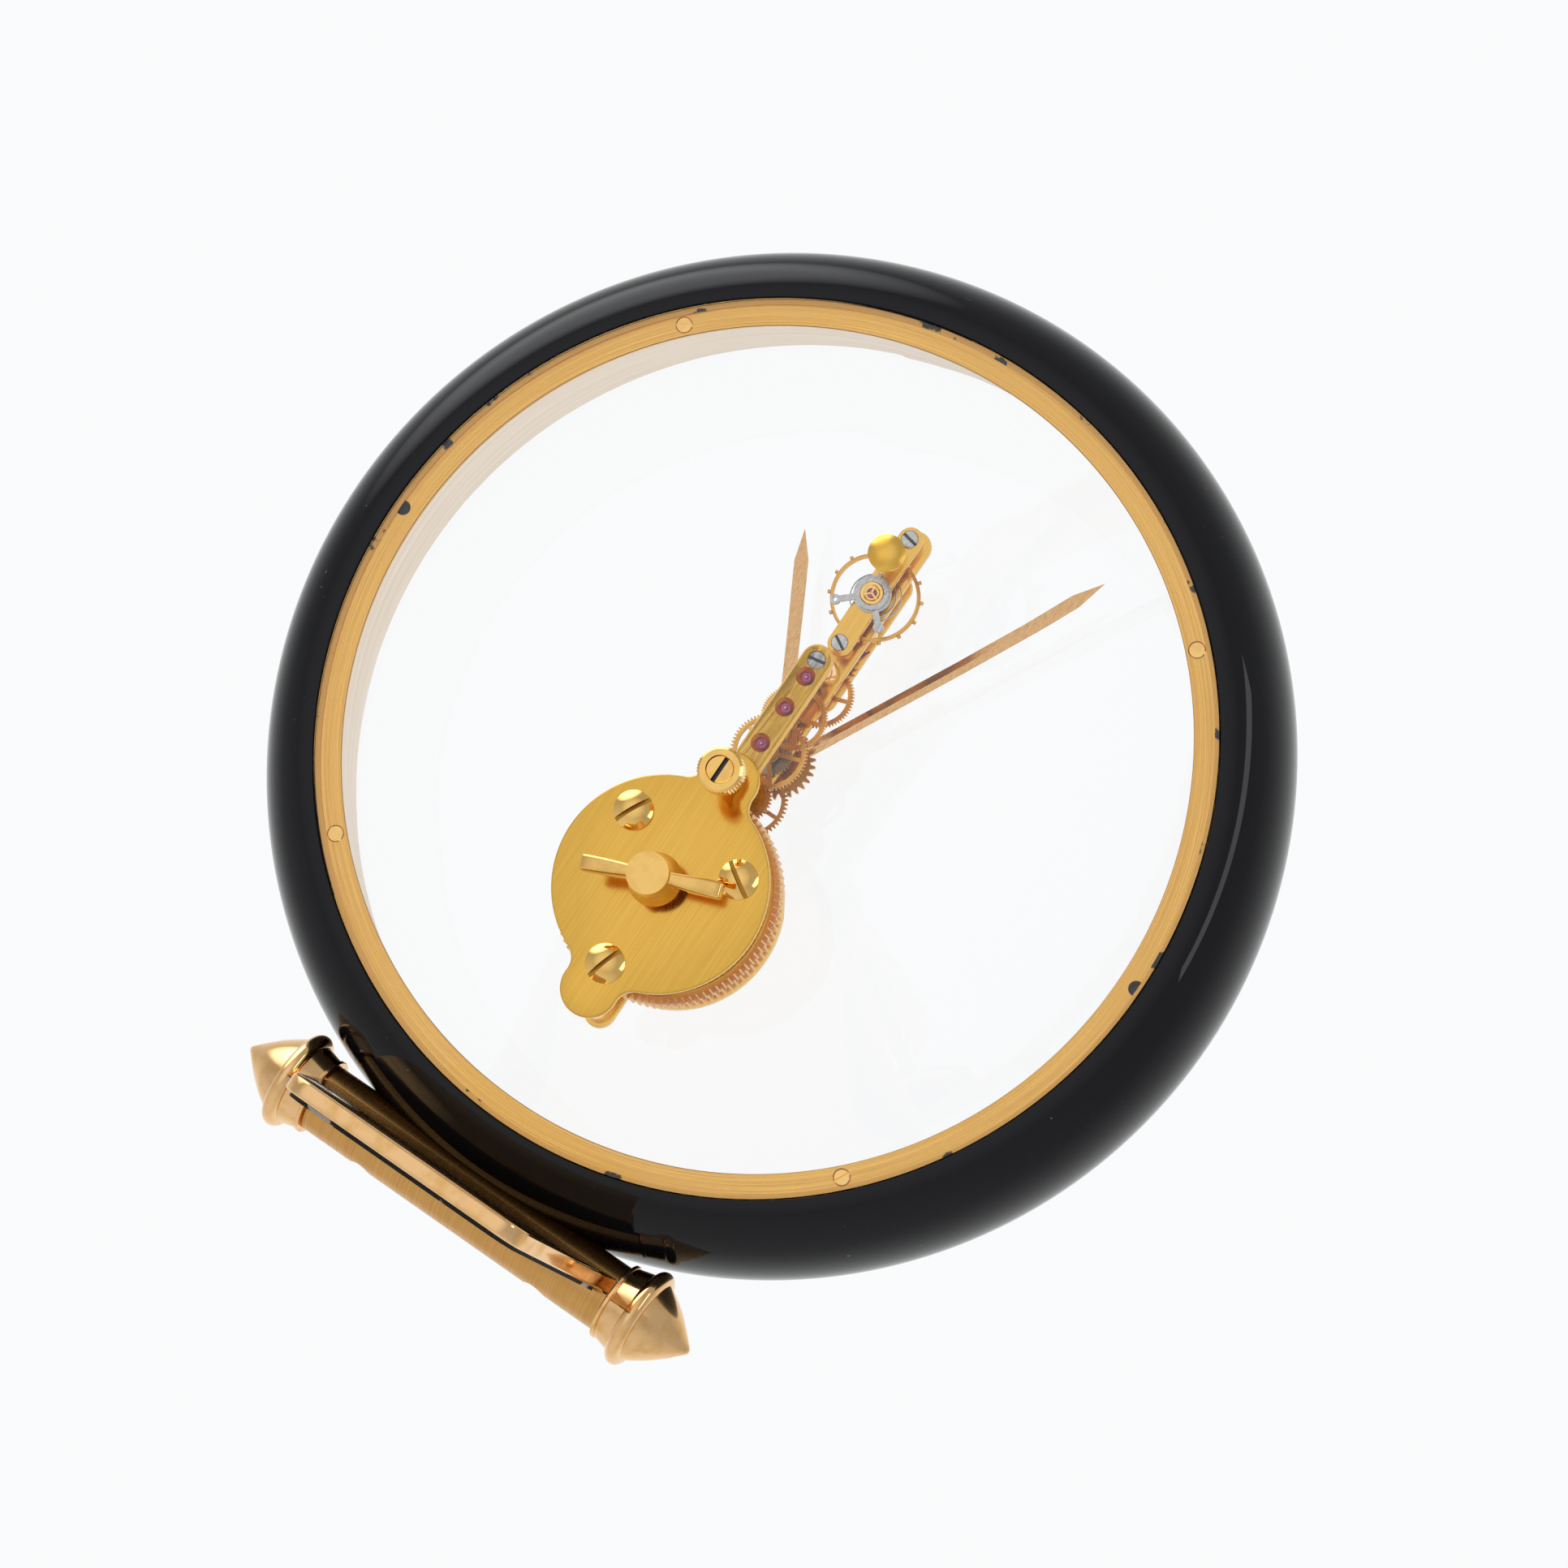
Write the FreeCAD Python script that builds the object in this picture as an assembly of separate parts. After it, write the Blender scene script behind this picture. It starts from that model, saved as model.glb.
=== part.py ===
import FreeCAD, Part
import math
import os

from FreeCAD import Placement, Rotation, Vector

# A mystery clock: a lacquered ring holds two crystals, and a slim in-line movement hangs from the rear one.
# Millimetres. The clock is drawn upright: X across, Z up in the plane of the ring, Y along the ring's axis
# towards the back. The rear flange's face is the plane y = 0. At the end everything leans back together
# until the two beads and the foot's rear edge stand on the floor.

# Ring, band, flanges and crystals
ring_outer_radius = 75.0
ring_depth = 28.4
ring_lip_width = 0.3
ring_seat_radius = 65.05
band_outer_radius = 62.6
band_inner_radius = 61.0
flange_thickness = 1.2
flange_edge_gap = 0.05
crystal_thickness = 1.5
crystal_edge_gap = 0.15
seal_width = 0.8
seal_thickness = 0.6
fit_gap = 0.02
band_gap = 0.02
flange_screw_count = 4
flange_screw_ring_radius = 62.7
flange_screw_head_radius = 1.2
flange_screw_head_height = 0.5
flange_hole_radius = 1.1
flange_hole_ring_radius = 63.75

# Base
rod_radius = 5.15
rod_half_length = 26.0
rod_axis_y = -7.0
rod_sink = 3.35
saddle_gap = 0.05
collar_radius = 5.7
collar_lip_radius = 5.95
collar_lip_width = 0.6
collar_length = 3.3
bead_radius = 7.6
bead_tube_radius = 1.2
cone_length = 7.35
cone_tip_radius = 1.0
cone_bulge = 0.35
stub_radius = 2.0
stub_length = 4.0
foot_drop = 1.0
foot_thickness = 2.5
foot_front_half_width = 25.6
foot_rear_half_width = 19.3
foot_front_inset = 1.65
foot_rear_y = 36.3
foot_corner_radius = 3.5
felt_thickness = 0.6
felt_inset = 1.0
felt_front_gap = 2.0
base_screw_spread = 15.5
base_screw_head_radius = 1.9
base_screw_head_height = 1.4
base_screw_recess = 0.8
base_screw_shank_radius = 1.1
base_screw_bite = 3.6

# Heights of the axes on the clock's centre line
barrel_z = -24.68
set_z = -7.06
centre_z = -0.07
third_z = 6.05
fourth_z = 11.3
bridge_end_z = 14.1
escape_z = 16.7
cock_low_z = 18.5
pallet_z = 19.65
balance_z = 26.9
button_z = 32.2
cock_high_z = 36.35
lug_z = -43.8

# Plates and posts
outer_plate_radius = 15.7
outer_plate_top_radius = 4.2
outer_plate_low_radius = 4.3
outer_plate_low_z = -42.3
outer_plate_fillet = 2.75
outer_plate_thickness = 1.3
outer_plate_chamfer = 0.35
plate_screw_spread = 9.15
plate_screw_side_z = -18.1
plate_screw_low_z = -38.3
plate_screw_head_radius = 2.88
plate_screw_rim = 0.35
plate_screw_dome = 0.95
plate_screw_shank_radius = 1.0
rear_plate_thickness = 1.4
rear_plate_radius = 15.0
rear_bar_half_width = 2.35
plate_gap = 8.7
main_plate_thickness = 1.5
main_plate_radius = 17.2
main_bar_half_width = 2.25
plate_chamfer = 0.3
front_bridge_gap = 3.3
front_bridge_thickness = 1.0
front_bridge_half_width = 2.2
front_bridge_chamfer = 0.2
front_post_low_z = 23.0
front_post_spread = 1.4
front_post_high_z = 30.6
front_post_radius = 0.65
cock_rear_y = -5.0
cock_thickness = 1.2
cock_half_width = 1.82
cock_chamfer = 0.25
cock_post_radius = 1.15
bridge_post_radius = 1.9
lug_post_radius = 1.77

# Jewels and small screws
sink_radius = 1.41
sink_depth = 0.45
jewel_radius = 0.88
jewel_thickness = 0.5
pivot_radius = 0.16
pivot_depth = 0.4
running_gap = 0.03
bridge_screw_radius = 1.33
cock_screw_radius = 1.25
front_screw_radius = 0.6
steel_screw_head_height = 0.4
steel_screw_shank_share = 0.55
steel_screw_length = 1.4
slot_width_share = 0.22
slot_depth_share = 0.5
plate_slot_degrees = (30.0, 78.0, 30.0)
bridge_slot_degrees = 20.0
cock_slot_degrees = -60.0
front_slot_degrees = 45.0
click_slot_degrees = 40.0
knob_slot_degrees = -70.0

# Barrel, ratchet and key
barrel_teeth = 96
barrel_shake = 0.6
barrel_height = 4.9
barrel_tooth_height = 1.4
drum_radius = 15.3
drum_wall = 0.7
drum_floor = 0.6
cover_thickness = 0.5
arbor_hub_radius = 3.0
arbor_radius = 1.45
arbor_end_radius = 1.0
spring_thickness = 0.4
spring_pack_width = 3.6
spring_side_gap = 0.15
spring_inner_turns = 1.5
ratchet_teeth = 32
ratchet_radius = 6.0
ratchet_tooth_depth = 0.55
ratchet_thickness = 0.8
ratchet_gap = 0.6
click_pivot_x = 6.0
click_pivot_rise = 6.38
click_nose_gap = 0.1
click_boss_radius = 1.25
click_width = 1.2
click_screw_radius = 0.95
click_stud_radius = 0.5
click_spring_foot_x = 10.6
click_spring_foot_rise = 9.6
click_spring_foot_radius = 0.9
click_spring_thickness = 0.25
click_spring_gap = 0.12
key_cap_radius = 3.05
key_cap_y = 13.0
key_cap_dome = 0.35
key_skirt_radius = 3.9
key_skirt_y = 6.9
key_stem_radius = 2.3
key_stem_gap = 0.1
key_bore_depth = 8.4
wing_reach = 10.3
wing_thickness = 1.45
wing_root_low_y = 7.2
wing_root_high_y = 12.3
wing_tip_low_y = 9.2
wing_tip_high_y = 10.0
wing_tilt_degrees = 21.4

# Going train
intermediate_leaves = 10
intermediate_teeth = 48
centre_leaves = 36
centre_teeth = 64
third_leaves = 8
third_teeth = 75
fourth_leaves = 8
fourth_teeth = 64
escape_leaves = 8
escape_teeth = 15
wheel_thickness = 0.4
intermediate_leaf_length = 1.5
intermediate_leaf_front_gap = 0.05
intermediate_wheel_rear_y = -8.3
intermediate_wheel_thickness = 0.7
intermediate_pipe_radius = 1.1
centre_wheel_rear_y = -6.6
third_wheel_rear_y = -7.5
fourth_wheel_rear_y = -12.4
leaf_overhang = 0.3
centre_arbor_radius = 0.6
centre_front_radius = 0.5
train_arbor_radius = 0.33
fourth_hole_radius = 0.79
collet_radius = 0.95
collet_length = 0.5
rim_width = 0.75
spoke_width = 0.6
train_spokes = 5
motion_spokes = 4
escape_spokes = 4
hub_radius = 1.5
escape_wheel_rear_y = -13.5
escape_wheel_thickness = 0.3
escape_radius = 2.45
escape_tooth_depth = 0.6
escape_rim_width = 0.35
escape_tip_width = 0.1
escape_undercut_share = 0.125
escape_hub_radius = 0.75

# Pallets and balance
stone_clearance = 0.22
stone_angle_degrees = 32.0
stone_width = 0.3
stone_length = 1.7
stone_grip_share = 0.55
stone_lean_degrees = 22.0
anchor_width = 0.6
fork_width = 0.5
fork_neck_share = 0.33
fork_end_gap = 0.28
fork_horn_half_width = 0.55
fork_slot_half_width = 0.22
fork_slot_depth = 0.7
roller_radius = 1.1
roller_thickness = 0.3
roller_gap = 0.3
roller_pin_radius = 0.15
roller_pin_circle = 0.8
roller_pin_gap = 0.1
staff_radius = 0.5
staff_front_radius = 0.28
staff_hole_radius = 1.3
balance_radius = 6.47
balance_rim_width = 0.47
balance_rim_height = 0.8
balance_rim_rear_y = -6.9
balance_arm_width = 0.9
balance_arm_thickness = 0.4
balance_hub_radius = 1.1
timing_screw_count = 12
timing_screw_radius = 0.27
timing_screw_reach = 0.45
hairspring_turns = 4
hairspring_thickness = 0.12
hairspring_height = 0.3
hairspring_inner_radius = 0.9
hairspring_outer_radius = 4.0
hairspring_rear_y = -6.4
stud_ring_radius = 2.75
stud_ring_thickness = 0.4
regulator_ring_radius = 2.45
regulator_ring_thickness = 0.4
setting_radius = 1.74
setting_height = 1.0
setting_stone_radius = 0.75
arm_width = 0.9
arm_eye_radius = 0.75
arm_eye_hole_radius = 0.3
stud_radius = 0.3
stud_length = 1.7
regulator_eye_x = 3.95
regulator_eye_drop = 3.6
stud_eye_x = -3.45
stud_eye_drop = 3.6
pointer_rise = 3.15
pointer_x = 0.6
pointer_tip_width = 0.25

# Button that holds the top of the movement to the crystal
button_radius = 2.7
button_rim = 0.45
button_dome = 0.75
button_post_radius = 1.3

# Hands and motion work
cannon_leaves = 14
minute_wheel_teeth = 56
minute_leaves = 10
hour_wheel_teeth = 30
cannon_pipe_radius = 0.9
cannon_leaf_rear_y = -11.8
cannon_leaf_length = 1.0
minute_wheel_rear_y = -12.1
minute_leaf_rear_y = -13.5
minute_leaf_length = 1.2
hour_wheel_rear_y = -13.8
hour_wheel_thickness = 0.6
hour_pipe_rear_y = -13.1
hour_pipe_radius = 1.4
hour_hand_rear_y = -15.9
minute_hand_rear_y = -17.0
hand_thickness = 0.55
hand_stack_end = 0.2
hour_hand_length = 34.2
minute_hand_length = 51.5
hour_hand_width = 2.0
minute_hand_width = 1.9
hour_hand_hub_radius = 2.5
minute_hand_hub_radius = 2.1
hand_point_length = 4.5
hour_hand_degrees = 28.2
minute_hand_degrees = -26.9
set_arbor_radius = 0.62
set_hole_radius = 1.2
winding_hole_radius = 1.9
knob_radius = 3.36
knob_rear_y = 11.9
knob_height = 2.8
knob_stem_radius = 1.6
knob_stem_gap = 0.2
knob_screw_radius = 1.99
knob_screw_recess = 0.15
knob_screw_height = 0.7
knob_screw_shank_radius = 0.3
knob_screw_shank_length = 1.6

# Tooth form, as shares of the module
wheel_addendum_share = 1.3
wheel_dedendum_share = 1.3
leaf_addendum_share = 1.0
leaf_dedendum_share = 1.5
leaf_tip_share = 0.35

# How finely round forms are drawn
facet_error = 0.12
fewest_sides = 6
seal_sides = 36
ring_steps = 4
bead_steps = 4
dome_steps = 2
wing_steps = 4
wing_curve_share = 1.4
window_steps = 2
lobe_steps = 4
hollow_steps = 3
plate_disc_steps = 10
spiral_steps = 12

overrun = 1.0
full_turn = 2 * math.pi
y_axis = Vector(0, 1, 0)

# Depths that follow from the sizes above
crystal_front_y = seal_thickness
crystal_rear_y = seal_thickness + crystal_thickness
ring_mid_y = crystal_rear_y - ring_depth / 2
outer_plate_rear_y = crystal_rear_y + outer_plate_thickness
rear_plate_rear_y = crystal_front_y
rear_plate_front_y = rear_plate_rear_y - rear_plate_thickness
main_plate_rear_y = rear_plate_front_y - plate_gap
main_plate_front_y = main_plate_rear_y - main_plate_thickness
front_bridge_rear_y = main_plate_front_y - front_bridge_gap
front_bridge_front_y = front_bridge_rear_y - front_bridge_thickness
cock_front_y = cock_rear_y - cock_thickness
barrel_rear_y = rear_plate_front_y - barrel_shake
barrel_front_y = barrel_rear_y - barrel_height
ratchet_front_y = main_plate_rear_y + ratchet_gap
ratchet_rear_y = ratchet_front_y + ratchet_thickness
knob_front_y = knob_rear_y - knob_height
rod_axis_z = -(ring_outer_radius - rod_sink + rod_radius)
foot_top_z = -ring_outer_radius + foot_drop
foot_low_z = foot_top_z - foot_thickness
felt_low_z = foot_low_z - felt_thickness
felt_rear_y = foot_rear_y - felt_inset


# Building blocks. Round pieces have flat sides, as many as keep each flat within facet_error of its circle.

def sides_of(radius):
    half_step = math.acos(1 - min(1.0, facet_error / radius))
    return max(fewest_sides, 2 * math.ceil(math.pi / half_step / 2))


def clear_radius(radius, sides):
    # the corner radius of a hole whose flats lie at the given radius
    return radius / math.cos(math.pi / sides)


def polar(radius, angle, y=0.0, x=0.0, z=0.0):
    # angles start at the top and run towards +X
    return Vector(x + radius * math.sin(angle), y, z + radius * math.cos(angle))


def loop(corners):
    return Part.makePolygon(corners + corners[:1])


def round_loop(radius, sides, y, x=0.0, z=0.0):
    return loop([polar(radius, index * full_turn / sides, y, x, z) for index in range(sides)])


def cylinder(radius, rear_y, front_y, x=0.0, z=0.0, sides=0):
    face = Part.Face(round_loop(radius, sides or sides_of(radius), front_y, x, z))
    return face.extrude(Vector(0, rear_y - front_y, 0))


def bore(radius, rear_y, front_y, x=0.0, z=0.0, sides=0):
    # a cutter whose flats just touch the circle, so that a round shaft of that radius fits
    sides = sides or sides_of(radius)
    return cylinder(clear_radius(radius, sides), rear_y, front_y, x, z, sides)


def tube(outer, inner, rear_y, front_y, x=0.0, z=0.0, sides=0):
    outer_sides = sides or sides_of(outer)
    inner_sides = sides or sides_of(inner)
    edge = round_loop(outer, outer_sides, front_y, x, z)
    hole = round_loop(clear_radius(inner, inner_sides), inner_sides, front_y, x, z)
    return Part.Face(edge).cut(Part.Face(hole)).extrude(Vector(0, rear_y - front_y, 0))


def turned(points, x=0.0, z=0.0, sides=0):
    # points are (radius, y) pairs around the closed profile of a turned piece
    sides = sides or sides_of(max(radius for radius, y in points))
    faces = []
    for (first, first_y), (second, second_y) in zip(points, points[1:] + points[:1]):
        if max(first, second) == 0:
            continue
        if first_y == second_y:
            wide = Part.Face(round_loop(max(first, second), sides, first_y))
            narrow = min(first, second)
            faces += wide.cut(Part.Face(round_loop(narrow, sides, first_y))).Faces if narrow else [wide]
            continue
        for index in range(sides):
            start = index * full_turn / sides
            end = (index + 1) * full_turn / sides
            corners = [polar(first, start, first_y), polar(second, start, second_y)]
            corners += [polar(second, end, second_y), polar(first, end, first_y)]
            if first == 0:
                corners.pop()
            if second == 0:
                corners.pop(2)
            faces.append(Part.Face(loop(corners)))
    return moved(closed(faces), x, z)


def closed(faces):
    shell = Part.makeShell(faces)
    shell.sewShape()
    solid = Part.makeSolid(shell)
    if solid.Volume < 0:
        solid.reverse()
    return solid


def moved(shape, x=0.0, z=0.0, y=0.0):
    shape.translate(Vector(x, y, z))
    return shape


def along_x(shape, x, y, z):
    # a piece turned about the Y axis is laid along X, its back towards +X
    shape.rotate(Vector(0, 0, 0), Vector(0, 0, 1), -90)
    return moved(shape, x, z, y)


def upright(shape, x, y, z):
    # a piece turned about the Y axis is stood up, its back towards +Z
    shape.rotate(Vector(0, 0, 0), Vector(1, 0, 0), 90)
    return moved(shape, x, z, y)


def prism(points, rear_y, front_y):
    # points are (x, z) pairs around the outline
    face = Part.Face(loop([Vector(x, front_y, z) for x, z in points]))
    return face.extrude(Vector(0, rear_y - front_y, 0))


def both_sides(right):
    # an outline from its right half, which starts and ends on the centre line
    return right + [(-x, z) for x, z in right[-2:0:-1]]


def bevelled(outline, rear_y, front_y, chamfer):
    # outline(inset) gives the plate's corners moved inwards by inset, always as many
    if not chamfer:
        return prism(outline(0.0), rear_y, front_y)
    edge_y = rear_y - chamfer
    levels = [(front_y, 0.0), (edge_y, 0.0), (rear_y, chamfer)]
    rings = [[Vector(x, y, z) for x, z in outline(inset)] for y, inset in levels]
    faces = [Part.Face(loop(rings[0])), Part.Face(loop(rings[-1]))]
    for low, high in zip(rings, rings[1:]):
        for index in range(len(low)):
            following = (index + 1) % len(low)
            corners = [low[index], low[following], high[following], high[index]]
            faces.append(Part.Face(loop(corners[:3])))
            faces.append(Part.Face(loop([corners[0], corners[2], corners[3]])))
    return closed(faces).removeSplitter()


def drilled(shape, holes, rear_y, front_y):
    # holes are (radius, x, z)
    for radius, x, z in holes:
        shape = shape.cut(bore(radius, rear_y + overrun, front_y - overrun, x, z))
    return shape


def fused(first, *others):
    return first.multiFuse(list(others)).removeSplitter() if others else first


def screw_slot(radius, top_y, depth, degrees, x=0.0, z=0.0):
    # a screwdriver slot across a head, open towards the back
    width = radius * 2 * slot_width_share
    length = radius + overrun
    bar = Part.makeBox(2 * length, depth + overrun, width, Vector(-length, top_y - depth, -width / 2))
    bar.rotate(Vector(0, 0, 0), y_axis, degrees)
    return moved(bar, x, z)


def flat_screw(
        head, height, shank, length, seat_y, degrees, x=0.0, z=0.0, towards=1):
    # the head's underside lies at seat_y; towards is 1 for a screw driven from the back, -1 from the front
    screw = fused(cylinder(head, height, 0.0), cylinder(shank, 0.0, -length))
    screw = screw.cut(screw_slot(head, height, height * slot_depth_share, degrees))
    if towards < 0:
        screw = screw.mirror(Vector(0, 0, 0), y_axis)
    return moved(screw, x, z, seat_y)


def dome_points(radius, rim, dome, seat_y):
    # the profile of a domed head from its middle out to its lower edge
    ball = (radius * radius + dome * dome) / (2 * dome)
    half = math.asin(radius / ball) / dome_steps
    top_y = seat_y + rim + dome
    points = [(0, top_y)]
    for step in range(1, dome_steps):
        points.append((ball * math.sin(half * step), top_y - ball + ball * math.cos(half * step)))
    return points + [(radius, seat_y + rim), (radius, seat_y)]


def domed(radius, rim, dome, seat_y, x=0.0, z=0.0):
    return turned(dome_points(radius, rim, dome, seat_y) + [(0, seat_y)], x, z)


# Toothed wheels

def module_of(distance, *teeth):
    return 2 * distance / sum(teeth)


def tooth_outline(teeth, module, phase, leaves, y, z):
    # wheels have pointed teeth, pinion leaves have narrow flat tips, and both have sharp roots
    pitch_radius = teeth * module / 2
    tip = pitch_radius + (leaf_addendum_share if leaves else wheel_addendum_share) * module
    root = pitch_radius - (leaf_dedendum_share if leaves else wheel_dedendum_share) * module
    step = full_turn / teeth
    tip_half = leaf_tip_share * module / tip / 2
    corners = []
    for tooth in range(teeth):
        middle = phase + tooth * step
        corners.append(polar(root, middle - step / 2, y, 0, z))
        if leaves:
            corners.append(polar(tip, middle - tip_half, y, 0, z))
            corners.append(polar(tip, middle + tip_half, y, 0, z))
        else:
            corners.append(polar(tip, middle, y, 0, z))
    return corners


def toothed(teeth, module, phase, leaves, rear_y, front_y, z, hole=0.0):
    face = Part.Face(loop(tooth_outline(teeth, module, phase, leaves, front_y, z)))
    if hole:
        sides = sides_of(hole)
        face = face.cut(Part.Face(round_loop(clear_radius(hole, sides), sides, front_y, 0, z)))
    return face.extrude(Vector(0, rear_y - front_y, 0))


def window(inner, outer, start, end, spoke, rear_y, front_y, z):
    # the opening between two spokes, whose sides run parallel to them
    inner_trim = math.asin(spoke / 2 / inner)
    outer_trim = math.asin(spoke / 2 / outer)
    points = arc_points(outer, start + outer_trim, end - outer_trim, window_steps, 0, z)
    points += arc_points(inner, end - inner_trim, start + inner_trim, 1, 0, z)
    return prism(points, rear_y, front_y)


def spoked(blank, spokes, inner, outer, spoke, rear_y, front_y, z):
    step = full_turn / spokes
    for index in range(spokes):
        start = index * step
        cut = window(inner, outer, start, start + step, spoke, rear_y + overrun, front_y - overrun, z)
        blank = blank.cut(cut)
    return blank


def spiral(inner, outer, turns, thickness, rear_y, front_y, z):
    # a flat strip wound at a steady rate
    steps = math.ceil(turns * spiral_steps)
    sides = []
    for offset in (-thickness / 2, thickness / 2):
        places = []
        for step in range(steps + 1):
            share = step / steps
            radius = inner + (outer - inner) * share + offset
            places.append(polar(radius, share * turns * full_turn, 0, 0, z))
        sides.append([(place.x, place.z) for place in places])
    return prism(sides[0] + sides[1][::-1], rear_y, front_y)


# Outlines of the plates

def arc_steps(radius, start, end):
    return max(1, math.ceil(abs(end - start) / full_turn * sides_of(radius)))


def arc_points(radius, start, end, steps, x=0.0, z=0.0):
    places = [polar(radius, start + (end - start) * index / steps, 0, x, z) for index in range(steps + 1)]
    return [(place.x, place.z) for place in places]


def bar_outline(half_width, high_z, low_z, disc_radius=0.0, disc_z=0.0):
    # a bar with round ends, which may run across a disc
    quarter = math.pi / 2
    end_steps = arc_steps(half_width, 0, quarter)
    disc_steps = arc_steps(disc_radius, 0, math.pi) if disc_radius else 0

    def outline(inset):
        half = half_width - inset
        disc = disc_radius - inset
        right = arc_points(half, 0, quarter, end_steps, 0, high_z)
        if disc_radius:
            meet = math.asin(half / disc)
            right += arc_points(disc, meet, math.pi - meet, disc_steps, 0, disc_z)
        right += arc_points(half, quarter, math.pi, end_steps, 0, low_z)
        return both_sides(right)
    return outline


def hollow_joint(lobe_z, lobe_radius, inset):
    # where the hollow between disc and lobe has its centre, and its angles as disc and lobe see them
    hollow = outer_plate_fillet + inset
    reach = outer_plate_radius - inset + hollow
    other = lobe_radius - inset + hollow
    gap = abs(lobe_z - barrel_z)
    lift = (reach * reach + gap * gap - other * other) / (2 * gap)
    across = math.sqrt(reach * reach - lift * lift)
    centre_z = barrel_z + (lift if lobe_z > barrel_z else -lift)
    return across, centre_z, math.atan2(across, centre_z - barrel_z), math.atan2(across, centre_z - lobe_z)


def lobed_outline(inset):
    # the outer plate: a disc with a lobe at the set knob and a smaller one below, joined by hollows
    top_x, top_z, disc_top, lobe_top = hollow_joint(set_z, outer_plate_top_radius, inset)
    low_x, low_z, disc_low, lobe_low = hollow_joint(outer_plate_low_z, outer_plate_low_radius, inset)
    hollow = outer_plate_fillet + inset
    right = arc_points(outer_plate_top_radius - inset, 0, lobe_top, lobe_steps, 0, set_z)
    right += arc_points(hollow, lobe_top - math.pi, disc_top - math.pi, hollow_steps, top_x, top_z)[1:]
    right += arc_points(outer_plate_radius - inset, disc_top, disc_low, plate_disc_steps, 0, barrel_z)[1:]
    right += arc_points(hollow, disc_low - math.pi, lobe_low - math.pi, hollow_steps, low_x, low_z)[1:]
    low_radius = outer_plate_low_radius - inset
    right += arc_points(low_radius, lobe_low, math.pi, lobe_steps, 0, outer_plate_low_z)[1:]
    return both_sides(right)


# Case

def ring_curve():
    # half of the ring's outside, from the equator to the rear lip, as (radius, y) pairs on an ellipse
    centre_radius = ring_seat_radius + ring_lip_width
    across = ring_outer_radius - centre_radius
    along = ring_depth / 2
    places = []
    for step in range(ring_steps + 1):
        angle = math.pi / 2 * step / ring_steps
        places.append((centre_radius + across * math.cos(angle), ring_mid_y + along * math.sin(angle)))
    return places


def ring_half():
    # one half of the lacquered ring, seated on the flange's back
    bore_radius = band_outer_radius + band_gap
    points = ring_curve() + [
        (ring_seat_radius, crystal_rear_y), (ring_seat_radius, -flange_thickness),
        (bore_radius, -flange_thickness), (bore_radius, ring_mid_y)]
    return turned(points, sides=ring_sides())


def make_ring_shell_rear():
    half = ring_half()
    for x in (-base_screw_spread, base_screw_spread):
        half = half.cut(base_screw_hole(x))
    return half


def ring_sides():
    return sides_of(ring_outer_radius)


def to_front(shape):
    return shape.mirror(Vector(0, ring_mid_y, 0), y_axis)


def flange_screw_places():
    step = full_turn / flange_screw_count
    spots = range(flange_screw_count)
    places = [polar(flange_screw_ring_radius, step / 2 + index * step) for index in spots]
    return [(place.x, place.z) for place in places]


def make_rear_flange():
    outer = ring_seat_radius - flange_edge_gap
    disc = tube(outer, band_inner_radius, 0.0, -flange_thickness, sides=ring_sides())
    for x, z in flange_screw_places():
        disc = disc.cut(bore(flange_screw_head_radius + fit_gap, overrun, -flange_screw_head_height, x, z))
    for x in (-flange_hole_ring_radius, flange_hole_ring_radius):
        disc = disc.cut(bore(flange_hole_radius, overrun, -flange_thickness - overrun, x, 0))
    return disc


def make_inner_band():
    # the band with the front flange turned on it
    outer = ring_seat_radius - flange_edge_gap
    front_y = 2 * ring_mid_y
    step_y = front_y + flange_thickness
    points = [
        (band_inner_radius, -flange_thickness), (band_outer_radius, -flange_thickness),
        (band_outer_radius, step_y), (outer, step_y), (outer, front_y), (band_inner_radius, front_y)]
    return turned(points, sides=ring_sides())


def make_flange_screws():
    screws = []
    for index, (x, z) in enumerate(flange_screw_places()):
        head = cylinder(flange_screw_head_radius, 0.0, -flange_screw_head_height)
        turn = 360 * index / flange_screw_count
        cut = screw_slot(flange_screw_head_radius, 0.0, flange_screw_head_height * slot_depth_share, turn)
        screws.append(moved(head.cut(cut), x, z))
    return Part.makeCompound(screws)


def crystal_radius():
    return ring_seat_radius - crystal_edge_gap


def make_seal():
    outer = crystal_radius()
    return tube(outer, outer - seal_width, seal_thickness, 0.0, sides=seal_sides)


def plate_screw_places():
    return [
        (-plate_screw_spread, plate_screw_side_z),
        (plate_screw_spread, plate_screw_side_z),
        (0.0, plate_screw_low_z),
    ]


def make_rear_crystal():
    glass = cylinder(crystal_radius(), crystal_rear_y, crystal_front_y, sides=ring_sides())
    holes = [(winding_hole_radius, 0, barrel_z), (set_hole_radius, 0, set_z)]
    holes.append((button_post_radius + fit_gap, 0, button_z))
    for x, z in plate_screw_places():
        holes.append((plate_screw_shank_radius + fit_gap, x, z))
    return drilled(glass, holes, crystal_rear_y, crystal_front_y)


def make_front_crystal():
    glass = cylinder(crystal_radius(), crystal_rear_y, crystal_front_y, sides=ring_sides())
    return to_front(glass)


# Base

def base_screw_hole(x):
    low_z = rod_axis_z - rod_radius - overrun
    length = base_screw_top_z() + fit_gap - low_z
    return upright(bore(base_screw_shank_radius + fit_gap, length, 0.0), x, rod_axis_y, low_z)


def base_screw_top_z():
    return -ring_outer_radius + base_screw_bite


def base_screw_seat_z():
    return rod_axis_z - rod_radius + base_screw_recess + base_screw_head_height


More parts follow.
